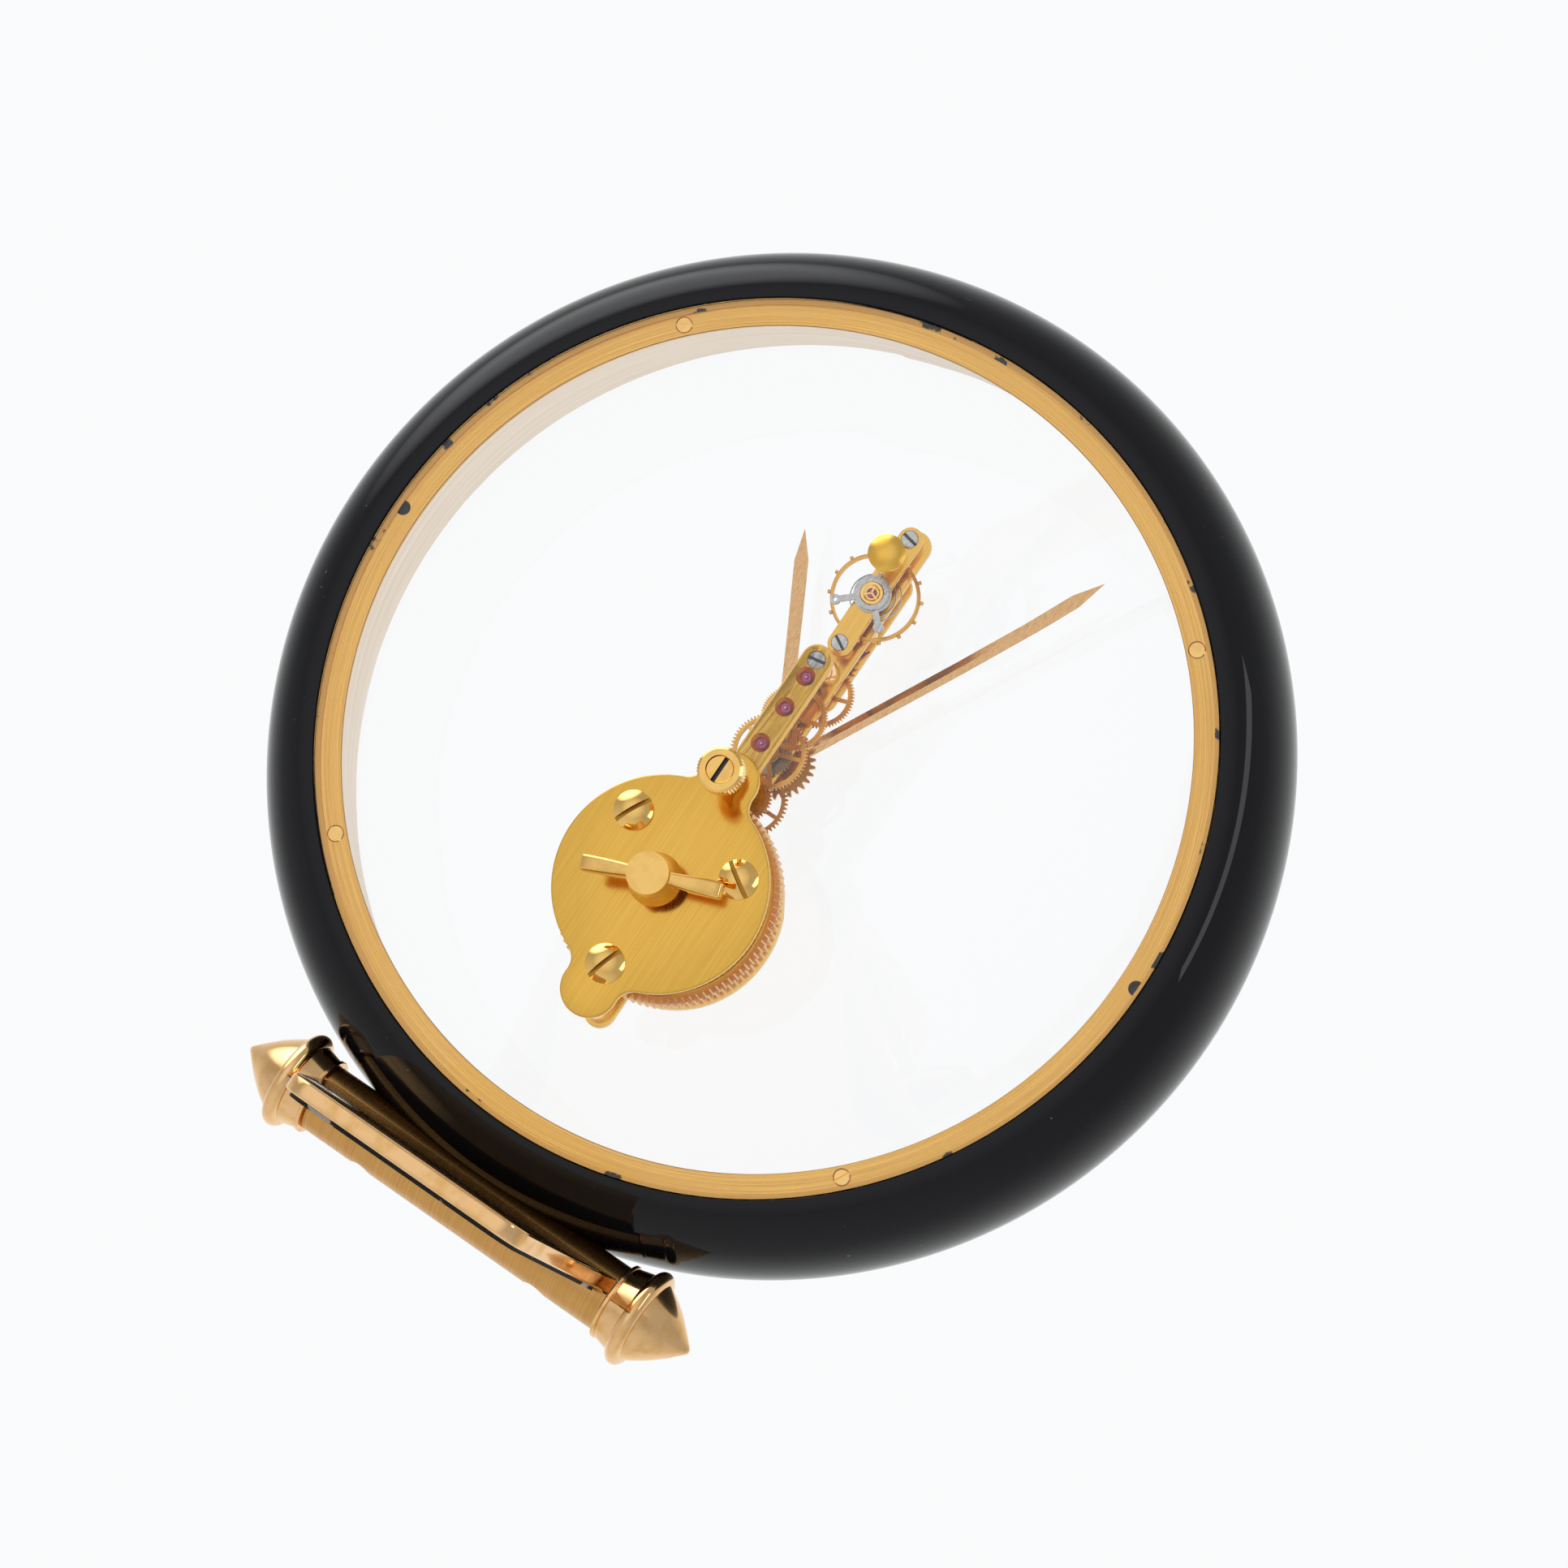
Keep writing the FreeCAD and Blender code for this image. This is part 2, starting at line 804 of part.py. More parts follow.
def saddle():
    # a cone that follows the ring's rear half above the rod
    places = [(radius + saddle_gap, y) for radius, y in ring_curve()]
    low_y = rod_axis_y - rod_radius - overrun
    start = (places[0][0], low_y)
    return turned([(0, low_y), start] + places + [(0, places[-1][1])], sides=ring_sides())


def make_base_rod():
    rod = along_x(
        cylinder(rod_radius, rod_half_length, -rod_half_length), 0, rod_axis_y, rod_axis_z)
    rod = rod.cut(saddle())
    pocket = Part.makeBox(
        2 * rod_half_length + 2 * overrun, rod_radius * 2, foot_thickness + 2 * fit_gap,
        Vector(-rod_half_length - overrun, foot_front_y() - fit_gap, foot_low_z - fit_gap))
    rod = rod.cut(pocket)
    low_z = rod_axis_z - rod_radius - overrun
    for side in (-1, 1):
        end = side * (rod_half_length + overrun)
        inner = side * (rod_half_length - stub_length - fit_gap)
        socket = bore(stub_radius + fit_gap, max(end, inner), min(end, inner))
        rod = rod.cut(along_x(socket, 0, rod_axis_y, rod_axis_z))
        x = side * base_screw_spread
        rod = rod.cut(base_screw_hole(x))
        head = bore(base_screw_head_radius + fit_gap, base_screw_seat_z() - low_z, 0.0)
        rod = rod.cut(upright(head, x, rod_axis_y, low_z))
    return rod


def make_finial(side):
    # turned in one piece: stub, collar with its lip, bead, and a slightly full cone with a round tip
    bead_middle = collar_length + bead_tube_radius
    bead_ring = bead_radius - bead_tube_radius
    cone_start = bead_middle + bead_tube_radius
    cone_end = cone_start + cone_length
    points = [
        (0, -stub_length), (stub_radius, -stub_length), (stub_radius, 0), (collar_lip_radius, 0),
        (collar_lip_radius, collar_lip_width), (collar_radius, collar_lip_width)]
    for step in range(bead_steps + 1):
        angle = math.pi * step / bead_steps
        radius = bead_ring + bead_tube_radius * math.sin(angle)
        points.append((max(radius, collar_radius), bead_middle - bead_tube_radius * math.cos(angle)))
    shoulder = cone_tip_radius * math.sin(math.pi / 4)
    half_radius = (bead_ring + shoulder) / 2 + cone_bulge
    half_y = (cone_start + cone_end - cone_tip_radius) / 2 + cone_bulge
    points += [(half_radius, half_y), (shoulder, cone_end - cone_tip_radius + shoulder), (0, cone_end)]
    finial = along_x(turned(points), rod_half_length, rod_axis_y, rod_axis_z)
    if side < 0:
        finial = finial.mirror(Vector(0, 0, 0), Vector(1, 0, 0))
    return finial


def foot_front_y():
    return rod_axis_y + rod_radius - foot_front_inset


def foot_half_width(y, inset=0.0):
    share = (y - foot_front_y()) / (foot_rear_y - foot_front_y())
    return foot_front_half_width + (foot_rear_half_width - foot_front_half_width) * share - inset


def foot_outline(front_y, rear_y, inset):
    # (x, y) corners of the taper with two round rear corners
    front = foot_half_width(front_y, inset)
    rear = foot_half_width(rear_y, inset)
    turn = math.atan2(front - rear, rear_y - front_y)
    reach = math.tan((math.pi / 2 + turn) / 2) * foot_corner_radius
    centre_x = rear - reach
    centre_y = rear_y - foot_corner_radius
    steps = arc_steps(foot_corner_radius, 0, math.pi / 2)
    corner = []
    for step in range(steps + 1):
        angle = turn + (math.pi / 2 - turn) * step / steps
        x = centre_x + foot_corner_radius * math.cos(angle)
        corner.append((x, centre_y + foot_corner_radius * math.sin(angle)))
    right = [(front, front_y)] + corner
    return right + [(-x, y) for x, y in reversed(right)]


def flat_slab(corners, low_z, thickness):
    face = Part.Face(loop([Vector(x, y, low_z) for x, y in corners]))
    return face.extrude(Vector(0, 0, thickness))


def make_foot_plate():
    return flat_slab(foot_outline(foot_front_y(), foot_rear_y, 0.0), foot_low_z, foot_thickness)


def make_foot_felt():
    front_y = rod_axis_y + rod_radius + felt_front_gap
    return flat_slab(foot_outline(front_y, felt_rear_y, felt_inset), felt_low_z, felt_thickness)


def make_base_screws():
    screws = []
    for x in (-base_screw_spread, base_screw_spread):
        length = base_screw_top_z() - base_screw_seat_z()
        head = base_screw_head_height
        screw = flat_screw(base_screw_head_radius, head, base_screw_shank_radius, length, 0.0, 0)
        screw.rotate(Vector(0, 0, 0), Vector(1, 0, 0), -90)
        screws.append(moved(screw, x, base_screw_seat_z(), rod_axis_y))
    return Part.makeCompound(screws)


# Fixed plates of the movement

def make_outer_plate():
    plate = bevelled(lobed_outline, outer_plate_rear_y, crystal_rear_y, outer_plate_chamfer)
    holes = [(arbor_radius + 2 * running_gap, 0, barrel_z), (set_arbor_radius + 2 * running_gap, 0, set_z)]
    for x, z in plate_screw_places():
        holes.append((plate_screw_shank_radius + fit_gap, x, z))
    return drilled(plate, holes, outer_plate_rear_y, crystal_rear_y)


def make_plate_screws():
    screws = []
    for index, (x, z) in enumerate(plate_screw_places()):
        head = domed(plate_screw_head_radius, plate_screw_rim, plate_screw_dome, outer_plate_rear_y, x, z)
        shank = cylinder(plate_screw_shank_radius, outer_plate_rear_y, rear_plate_front_y, x, z)
        top_y = outer_plate_rear_y + plate_screw_rim + plate_screw_dome
        depth = plate_screw_dome
        slot = screw_slot(plate_screw_head_radius, top_y, depth, plate_slot_degrees[index], x, z)
        screw = fused(head, shank).cut(slot)
        screws.append(screw)
    return Part.makeCompound(screws)


def rear_jewel_places():
    return [centre_z, third_z, fourth_z]


def sunk(plate, rear_y, z):
    # a polished conical sink with the seat of its jewel below it
    seat_y = rear_y - sink_depth
    seat = clear_radius(jewel_radius + fit_gap, sides_of(sink_radius))
    low_y = seat_y - jewel_thickness
    profile = [(0, rear_y + overrun), (sink_radius, rear_y + overrun), (sink_radius, rear_y)]
    return plate.cut(turned(profile + [(seat, seat_y), (seat, low_y), (0, low_y)], 0, z))


def make_rear_plate():
    outline = bar_outline(rear_bar_half_width, bridge_end_z, lug_z, rear_plate_radius, barrel_z)
    plate = bevelled(outline, rear_plate_rear_y, rear_plate_front_y, plate_chamfer)
    for z in rear_jewel_places():
        plate = sunk(plate, rear_plate_rear_y, z)
    clear = pivot_radius + 2 * running_gap
    holes = [(arbor_radius + running_gap, 0, barrel_z), (set_arbor_radius + running_gap, 0, set_z)]
    holes += [(clear, 0, z) for z in rear_jewel_places()[1:]]
    holes.append((centre_arbor_radius, 0, centre_z))
    holes.append((bridge_screw_radius * steel_screw_shank_share + fit_gap, 0, bridge_end_z))
    for x, z in plate_screw_places():
        holes.append((plate_screw_shank_radius + fit_gap, x, z))
    plate = drilled(plate, holes, rear_plate_rear_y, rear_plate_front_y)
    recess_y = rear_plate_rear_y - steel_screw_head_height
    recess = bore(bridge_screw_radius + fit_gap, rear_plate_rear_y + overrun, recess_y, 0, bridge_end_z)
    return plate.cut(recess)


def jewel(rear_y, front_y, z):
    return tube(jewel_radius, pivot_radius + running_gap, rear_y, front_y, 0, z, sides_of(sink_radius))


def make_train_jewels():
    stones = []
    seat_y = rear_plate_rear_y - sink_depth
    for z in rear_jewel_places():
        stones.append(jewel(seat_y, seat_y - jewel_thickness, z))
    stones.append(jewel(main_plate_rear_y, main_plate_rear_y - jewel_thickness, escape_z))
    return Part.makeCompound(stones)


def make_main_plate():
    outline = bar_outline(main_bar_half_width, cock_high_z, lug_z, main_plate_radius, barrel_z)
    plate = bevelled(outline, main_plate_rear_y, main_plate_front_y, plate_chamfer)
    holes = [
        (arbor_end_radius + running_gap, 0, barrel_z),
        (set_arbor_radius + running_gap, 0, set_z),
        (centre_arbor_radius + running_gap, 0, centre_z),
        (fourth_hole_radius, 0, fourth_z),
        (staff_hole_radius, 0, balance_z),
        (pivot_radius + 2 * running_gap, 0, escape_z),
        (pivot_radius + running_gap, 0, third_z),
        (pivot_radius + running_gap, 0, pallet_z),
        (click_stud_radius + fit_gap, click_pivot_x, barrel_z + click_pivot_rise),
    ]
    plate = drilled(plate, holes, main_plate_rear_y, main_plate_front_y)
    sides = sides_of(sink_radius)
    seat_y = main_plate_rear_y - jewel_thickness
    return plate.cut(bore(jewel_radius + fit_gap, main_plate_rear_y + overrun, seat_y, 0, escape_z, sides))


def make_pillars():
    posts = [
        cylinder(bridge_post_radius, rear_plate_front_y, main_plate_rear_y, 0, bridge_end_z),
        cylinder(lug_post_radius, rear_plate_front_y, main_plate_rear_y, 0, lug_z),
        cylinder(cock_post_radius, cock_front_y, main_plate_rear_y, 0, cock_low_z),
        cylinder(cock_post_radius, cock_front_y, main_plate_rear_y, 0, cock_high_z),
    ]
    for x, z in front_post_places():
        posts.append(cylinder(front_post_radius, main_plate_front_y, front_bridge_rear_y, x, z))
    drill = bridge_screw_radius * steel_screw_shank_share + fit_gap
    depth_y = rear_plate_front_y - steel_screw_length
    posts[0] = posts[0].cut(bore(drill, rear_plate_front_y + overrun, depth_y, 0, bridge_end_z))
    return Part.makeCompound(posts)


def front_post_places():
    return [
        (-front_post_spread, front_post_low_z),
        (front_post_spread, front_post_low_z),
        (0.0, front_post_high_z),
    ]


def make_steel_screws():
    screws = []
    shank = bridge_screw_radius * steel_screw_shank_share
    seat_y = rear_plate_rear_y - steel_screw_head_height
    length = seat_y - rear_plate_front_y + steel_screw_length - fit_gap
    screws.append(flat_screw(
        bridge_screw_radius, steel_screw_head_height, shank, length, seat_y, bridge_slot_degrees,
        0, bridge_end_z))
    shank = cock_screw_radius * steel_screw_shank_share
    for z in (cock_low_z, cock_high_z):
        screws.append(flat_screw(
            cock_screw_radius, steel_screw_head_height, shank, cock_thickness, cock_rear_y,
            cock_slot_degrees, 0, z))
    shank = front_screw_radius * steel_screw_shank_share
    for x, z in front_post_places():
        screws.append(flat_screw(
            front_screw_radius, steel_screw_head_height, shank, front_bridge_thickness,
            front_bridge_front_y, front_slot_degrees, x, z, towards=-1))
    return Part.makeCompound(screws)


def make_balance_cock():
    outline = bar_outline(cock_half_width, cock_high_z, cock_low_z)
    cock = bevelled(outline, cock_rear_y, cock_front_y, cock_chamfer)
    shank = cock_screw_radius * steel_screw_shank_share + fit_gap
    holes = [(shank, 0, cock_low_z), (shank, 0, cock_high_z), (pivot_radius + running_gap, 0, balance_z)]
    return drilled(cock, holes, cock_rear_y, cock_front_y)


def make_front_bridge():
    outline = bar_outline(front_bridge_half_width, front_post_high_z, fourth_z)
    bridge = bevelled(outline, front_bridge_rear_y, front_bridge_front_y, front_bridge_chamfer)
    shank = front_screw_radius * steel_screw_shank_share + fit_gap
    holes = [(shank, x, z) for x, z in front_post_places()]
    for z in (fourth_z, escape_z, pallet_z, balance_z):
        holes.append((pivot_radius + running_gap, 0, z))
    return drilled(bridge, holes, front_bridge_rear_y, front_bridge_front_y)


def eyed_arm(start_x, start_z, eye_x, eye_z, rear_y, front_y):
    # a straight arm that ends in an eye
    length = math.hypot(eye_x - start_x, eye_z - start_z)
    bar = Part.makeBox(arm_width, rear_y - front_y, length, Vector(-arm_width / 2, front_y, 0))
    bar.rotate(Vector(0, 0, 0), y_axis, math.degrees(math.atan2(eye_x - start_x, eye_z - start_z)))
    bar.translate(Vector(start_x, 0, start_z))
    return fused(bar, cylinder(arm_eye_radius, rear_y, front_y, eye_x, eye_z))


def make_stud_carrier():
    front_y = cock_rear_y
    rear_y = front_y + stud_ring_thickness
    ring = cylinder(stud_ring_radius, rear_y, front_y, 0, balance_z)
    eye_z = balance_z - stud_eye_drop
    carrier = fused(ring, eyed_arm(0.0, balance_z, stud_eye_x, eye_z, rear_y, front_y))
    carrier = carrier.cut(bore(setting_radius + fit_gap, rear_y + overrun, front_y - overrun, 0, balance_z))
    stud = cylinder(stud_radius, rear_y, rear_y - stud_length - stud_ring_thickness, stud_eye_x, eye_z)
    return fused(carrier, stud)


def make_regulator():
    front_y = cock_rear_y + stud_ring_thickness
    rear_y = front_y + regulator_ring_thickness
    ring = cylinder(regulator_ring_radius, rear_y, front_y, 0, balance_z)
    eye_z = balance_z - regulator_eye_drop
    arm = eyed_arm(0.0, balance_z, regulator_eye_x, eye_z, rear_y, front_y)
    tip_z = balance_z + pointer_rise
    half_tip = pointer_tip_width / 2
    pointer = prism([
        (-arm_width / 2, balance_z), (arm_width / 2, balance_z),
        (pointer_x + half_tip, tip_z), (pointer_x - half_tip, tip_z)], rear_y, front_y)
    regulator = fused(ring, arm, pointer)
    holes = [(setting_radius + fit_gap, 0, balance_z), (arm_eye_hole_radius, regulator_eye_x, eye_z)]
    return drilled(regulator, holes, rear_y, front_y)


def make_shock_setting():
    rear_y = cock_rear_y + setting_height
    return tube(setting_radius, setting_stone_radius, rear_y, cock_rear_y, 0, balance_z)


def make_end_stone():
    rear_y = cock_rear_y + setting_height - fit_gap
    return cylinder(setting_stone_radius - fit_gap, rear_y, cock_rear_y, 0, balance_z)


def make_glass_button():
    cap = domed(button_radius, button_rim, button_dome, crystal_rear_y, 0, button_z)
    return fused(cap, cylinder(button_post_radius, crystal_rear_y, cock_rear_y, 0, button_z))


# Winding

def key_wings():
    # two leaf wings on edge, deep at the hub and thin at the tips, cut from one blade
    right = []
    for step in range(wing_steps + 1):
        share = step / wing_steps
        fall = share ** wing_curve_share
        right.append((wing_reach * share, wing_root_high_y + (wing_tip_high_y - wing_root_high_y) * fall))
    for step in range(wing_steps, -1, -1):
        share = step / wing_steps
        fall = share ** wing_curve_share
        right.append((wing_reach * share, wing_root_low_y + (wing_tip_low_y - wing_root_low_y) * fall))
    outline = right[1:-1] + [right[-1]] + [(-x, y) for x, y in right[-2:0:-1]] + [right[0]]
    corners = [Vector(x, y, -wing_thickness / 2) for x, y in outline]
    blade = Part.Face(loop(corners)).extrude(Vector(0, 0, wing_thickness))
    blade.rotate(Vector(0, 0, 0), y_axis, wing_tilt_degrees)
    return moved(blade, 0, barrel_z)


def key_stem_y():
    return outer_plate_rear_y + key_stem_gap


def make_winding_key():
    points = dome_points(key_cap_radius, 0.0, key_cap_dome, key_cap_y)[:-1]
    points += [
        (key_skirt_radius, key_skirt_y), (key_stem_radius, key_skirt_y), (key_stem_radius, key_stem_y()),
        (0, key_stem_y())]
    key = fused(turned(points, 0, barrel_z), key_wings())
    socket = bore(
        arbor_radius + fit_gap, key_stem_y() + key_bore_depth, key_stem_y() - overrun, 0, barrel_z)
    return key.cut(socket)


def make_barrel_arbor():
    top_y = key_stem_y() + key_bore_depth - fit_gap
    hub_rear_y = barrel_rear_y - drum_floor - running_gap
    hub_front_y = barrel_front_y + cover_thickness + running_gap
    step_y = main_plate_rear_y + running_gap
    return turned([
        (0, top_y), (arbor_radius, top_y), (arbor_radius, hub_rear_y), (arbor_hub_radius, hub_rear_y),
        (arbor_hub_radius, hub_front_y), (arbor_radius, hub_front_y), (arbor_radius, step_y),
        (arbor_end_radius, step_y), (arbor_end_radius, main_plate_front_y), (0, main_plate_front_y)],
        0, barrel_z)


def make_barrel_drum():
    hole = clear_radius(arbor_radius + running_gap, sides_of(drum_radius))
    inner = drum_radius - drum_wall
    floor_y = barrel_rear_y - drum_floor
    drum = turned([
        (hole, barrel_rear_y), (drum_radius, barrel_rear_y), (drum_radius, barrel_front_y),
        (inner, barrel_front_y), (inner, floor_y), (hole, floor_y)], 0, barrel_z)
    module = module_of(set_z - barrel_z, barrel_teeth, intermediate_leaves)
    rim_rear_y = barrel_front_y + barrel_tooth_height
    hole_radius = drum_radius - drum_wall / 2
    rim = toothed(barrel_teeth, module, 0, False, rim_rear_y, barrel_front_y, barrel_z, hole_radius)
    return fused(drum, rim)


def make_barrel_cover():
    outer = drum_radius - drum_wall - fit_gap
    hole = arbor_radius + running_gap
    sides = sides_of(drum_radius)
    return tube(outer, hole, barrel_front_y + cover_thickness, barrel_front_y, 0, barrel_z, sides)


def make_mainspring():
    # the outer coils lie packed against the wall and the inner end runs in to the arbor's hub
    rear_y = barrel_rear_y - drum_floor - spring_side_gap
    front_y = barrel_front_y + cover_thickness + spring_side_gap
    outer = drum_radius - drum_wall - fit_gap
    pack_inner = outer - spring_pack_width
    pack = tube(outer, pack_inner, rear_y, front_y, 0, barrel_z, sides_of(drum_radius))
    eye = arbor_hub_radius + running_gap + spring_thickness
    end = pack_inner + spring_thickness
    inner = spiral(
        eye, end, spring_inner_turns, spring_thickness, rear_y, front_y, barrel_z)
    return fused(pack, inner)


def make_ratchet_wheel():
    step = full_turn / ratchet_teeth
    root = ratchet_radius - ratchet_tooth_depth
    points = []
    for tooth in range(ratchet_teeth):
        angle = tooth * step
        tip = polar(ratchet_radius, angle)
        foot = polar(root, angle)
        points += [(foot.x, barrel_z + foot.z), (tip.x, barrel_z + tip.z)]
    wheel = prism(points, ratchet_rear_y, ratchet_front_y)
    return drilled(wheel, [(arbor_radius + fit_gap, 0, barrel_z)], ratchet_rear_y, ratchet_front_y)


def click_pivot():
    return click_pivot_x, barrel_z + click_pivot_rise


def make_click():
    # a lever from its screw to a nose over the ratchet wheel's top tooth
    x, z = click_pivot()
    nose_z = barrel_z + ratchet_radius + click_nose_gap
    boss = cylinder(click_boss_radius, ratchet_rear_y, ratchet_front_y, x, z)
    lever = prism([
        (x, z - click_width / 2), (0.0, nose_z), (0.0, nose_z + click_width / 2),
        (x, z + click_boss_radius)], ratchet_rear_y, ratchet_front_y)
    hole = bore(click_stud_radius + running_gap, ratchet_rear_y + overrun, ratchet_front_y - overrun, x, z)
    return fused(boss, lever).cut(hole)


def make_click_screw():
    x, z = click_pivot()
    seat_y = ratchet_rear_y + running_gap
    length = seat_y - main_plate_front_y
    return flat_screw(
        click_screw_radius, steel_screw_head_height, click_stud_radius, length, seat_y,
        click_slot_degrees, x, z)


def make_click_spring():
    # a blade from a screwed foot, resting beside the click's back
    foot_x = click_spring_foot_x
    foot_z = barrel_z + click_spring_foot_rise
    rear_y = ratchet_rear_y
    front_y = ratchet_front_y
    foot = cylinder(click_spring_foot_radius, rear_y, main_plate_rear_y, foot_x, foot_z)
    end_x = click_pivot_x / 2
    back_z = barrel_z + ratchet_radius + click_nose_gap + click_boss_radius + click_width
    low_z = back_z + click_spring_gap
    blade = prism([
        (foot_x, foot_z - click_spring_thickness / 2), (end_x, low_z),
        (end_x, low_z + click_spring_thickness), (foot_x, foot_z + click_spring_thickness / 2)],
        rear_y, front_y)
    return fused(foot, blade)


# Going train

def stepped(steps, z):
    # steps are (radius, rear_y, front_y) from back to front, each starting where the last one ended
    points = [(0, steps[0][1])]
    for radius, rear_y, front_y in steps:
        points += [(radius, rear_y), (radius, front_y)]
    points.append((0, steps[-1][2]))
    return turned(points, 0, z)


def arbor(z, radius, rear_y, rear_seat_y, front_seat_y, front_y):
    # a plain arbor with a pivot at each end, its shoulders a running gap inside the two seats
    rear_shoulder_y = rear_seat_y - running_gap
    front_shoulder_y = front_seat_y + running_gap
    return stepped([
        (pivot_radius, rear_y, rear_shoulder_y),
        (radius, rear_shoulder_y, front_shoulder_y),
        (pivot_radius, front_shoulder_y, front_y)], z)


def wheel(teeth, module, rear_y, z, hole, spokes, hub=hub_radius):
    # a spoked wheel with a tooth straight up
    front_y = rear_y - wheel_thickness
    blank = toothed(teeth, module, 0, False, rear_y, front_y, z, hole)
    rim_inner = teeth * module / 2 - rim_width
    return spoked(blank, spokes, hub, rim_inner, spoke_width, rear_y, front_y, z)


def make_intermediate_wheel():
    # the pinion on the barrel and the wheel on the centre pinion share one pipe, free on the set arbor
    pinion_module = module_of(set_z - barrel_z, barrel_teeth, intermediate_leaves)
    wheel_module = module_of(centre_z - set_z, intermediate_teeth, centre_leaves)
    pinion_front_y = barrel_front_y - intermediate_leaf_front_gap
    pinion_rear_y = pinion_front_y + intermediate_leaf_length
    half_gap = math.pi + math.pi / intermediate_leaves
    pinion = toothed(
        intermediate_leaves, pinion_module, half_gap, True, pinion_rear_y, pinion_front_y, set_z)
    wheel_rear_y = intermediate_wheel_rear_y
    wheel_front_y = wheel_rear_y - intermediate_wheel_thickness
    ring = toothed(intermediate_teeth, wheel_module, 0, False, wheel_rear_y, wheel_front_y, set_z)
    pipe = cylinder(intermediate_pipe_radius, pinion_rear_y, wheel_front_y, 0, set_z)
    piece = fused(pinion, pipe, ring)
    return drilled(piece, [(set_arbor_radius + running_gap, 0, set_z)], pinion_rear_y, wheel_front_y)


def centre_pinion_module():
    return module_of(centre_z - set_z, intermediate_teeth, centre_leaves)


def make_centre_arbor():
    end_y = minute_hand_rear_y - hand_thickness
    shaft = stepped([
        (pivot_radius, rear_plate_rear_y - sink_depth, rear_plate_front_y + fit_gap),
        (centre_arbor_radius, rear_plate_front_y - running_gap, main_plate_front_y),
        (centre_front_radius, main_plate_front_y, end_y)], centre_z)
    collet = cylinder(collet_radius, centre_wheel_rear_y + collet_length, centre_wheel_rear_y, 0, centre_z)
    front_y = intermediate_wheel_rear_y - intermediate_wheel_thickness
    phase = math.pi + math.pi / centre_leaves
    pinion = toothed(
        centre_leaves, centre_pinion_module(), phase, True, intermediate_wheel_rear_y, front_y, centre_z)
    return fused(shaft, collet, pinion)


def make_centre_wheel():
    module = module_of(third_z - centre_z, centre_teeth, third_leaves)
    return wheel(
        centre_teeth, module, centre_wheel_rear_y, centre_z,
        centre_arbor_radius + fit_gap, train_spokes)


def pinion_for(leaves, module, wheel_rear_y, z):
    # leaves that reach past both faces of the wheel which drives them from below
    rear_y = wheel_rear_y + leaf_overhang
    front_y = wheel_rear_y - wheel_thickness - leaf_overhang
    return toothed(leaves, module, math.pi + math.pi / leaves, True, rear_y, front_y, z)


def make_third_arbor():
    module = module_of(third_z - centre_z, centre_teeth, third_leaves)
    rear_y = rear_plate_rear_y - sink_depth
    front_y = main_plate_rear_y - pivot_depth
    shaft = arbor(
        third_z, train_arbor_radius, rear_y, rear_plate_front_y, main_plate_rear_y, front_y)
    pinion = pinion_for(third_leaves, module, centre_wheel_rear_y, third_z)
    return fused(shaft, pinion)


def make_third_wheel():
    module = module_of(fourth_z - third_z, third_teeth, fourth_leaves)
    return wheel(
        third_teeth, module, third_wheel_rear_y, third_z,
        train_arbor_radius + fit_gap, train_spokes, hub=collet_radius)


def make_fourth_arbor():
    module = module_of(fourth_z - third_z, third_teeth, fourth_leaves)
    rear_y = rear_plate_rear_y - sink_depth
    shaft = arbor(
        fourth_z, train_arbor_radius, rear_y, rear_plate_front_y, front_bridge_rear_y,
        front_bridge_front_y)
    pinion = pinion_for(fourth_leaves, module, third_wheel_rear_y, fourth_z)
    return fused(shaft, pinion)


def make_fourth_wheel():
    module = module_of(escape_z - fourth_z, fourth_teeth, escape_leaves)
    return wheel(
        fourth_teeth, module, fourth_wheel_rear_y, fourth_z,
        train_arbor_radius + fit_gap, train_spokes, hub=collet_radius)


def make_escape_arbor():
    module = module_of(escape_z - fourth_z, fourth_teeth, escape_leaves)
    shaft = arbor(
        escape_z, train_arbor_radius, main_plate_rear_y, main_plate_front_y, front_bridge_rear_y,
        front_bridge_front_y)
    pinion = pinion_for(escape_leaves, module, fourth_wheel_rear_y, escape_z)
    return fused(shaft, pinion)


def make_escape_wheel():
    # club teeth: a long sloping back, an undercut face and a narrow tip
    front_y = escape_wheel_rear_y - escape_wheel_thickness
    step = full_turn / escape_teeth
    root = escape_radius - escape_tooth_depth
    tip_turn = escape_tip_width / escape_radius
    points = []
    for tooth in range(escape_teeth):
        angle = tooth * step
        places = [
            polar(root, angle - step / 2), polar(escape_radius, angle),
            polar(escape_radius, angle + tip_turn), polar(root, angle - step * escape_undercut_share),
        ]
        points += [(place.x, escape_z + place.z) for place in places]
    blank = prism(points, escape_wheel_rear_y, front_y)
    blank = blank.cut(bore(train_arbor_radius + fit_gap, overrun, front_y - overrun, 0, escape_z))
    rim_inner = root - escape_rim_width
    return spoked(
        blank, escape_spokes, escape_hub_radius, rim_inner, escape_rim_width,
        escape_wheel_rear_y, front_y, escape_z)


# Pallets and balance

def stone_place(side):
    # where a stone's tip stands, clear of the escape wheel's tip circle
    angle = side * math.radians(stone_angle_degrees)
    return polar(escape_radius + stone_clearance, angle, 0, 0, escape_z)


def stone(side, rear_y, front_y):
    tip = stone_place(side)
    half = stone_width / 2
    bar = Part.makeBox(2 * half, rear_y - front_y, stone_length, Vector(-half, front_y, 0))
    bar.rotate(Vector(0, 0, 0), y_axis, side * stone_lean_degrees)
    bar.translate(Vector(tip.x + side * half, 0, tip.z))
    return bar


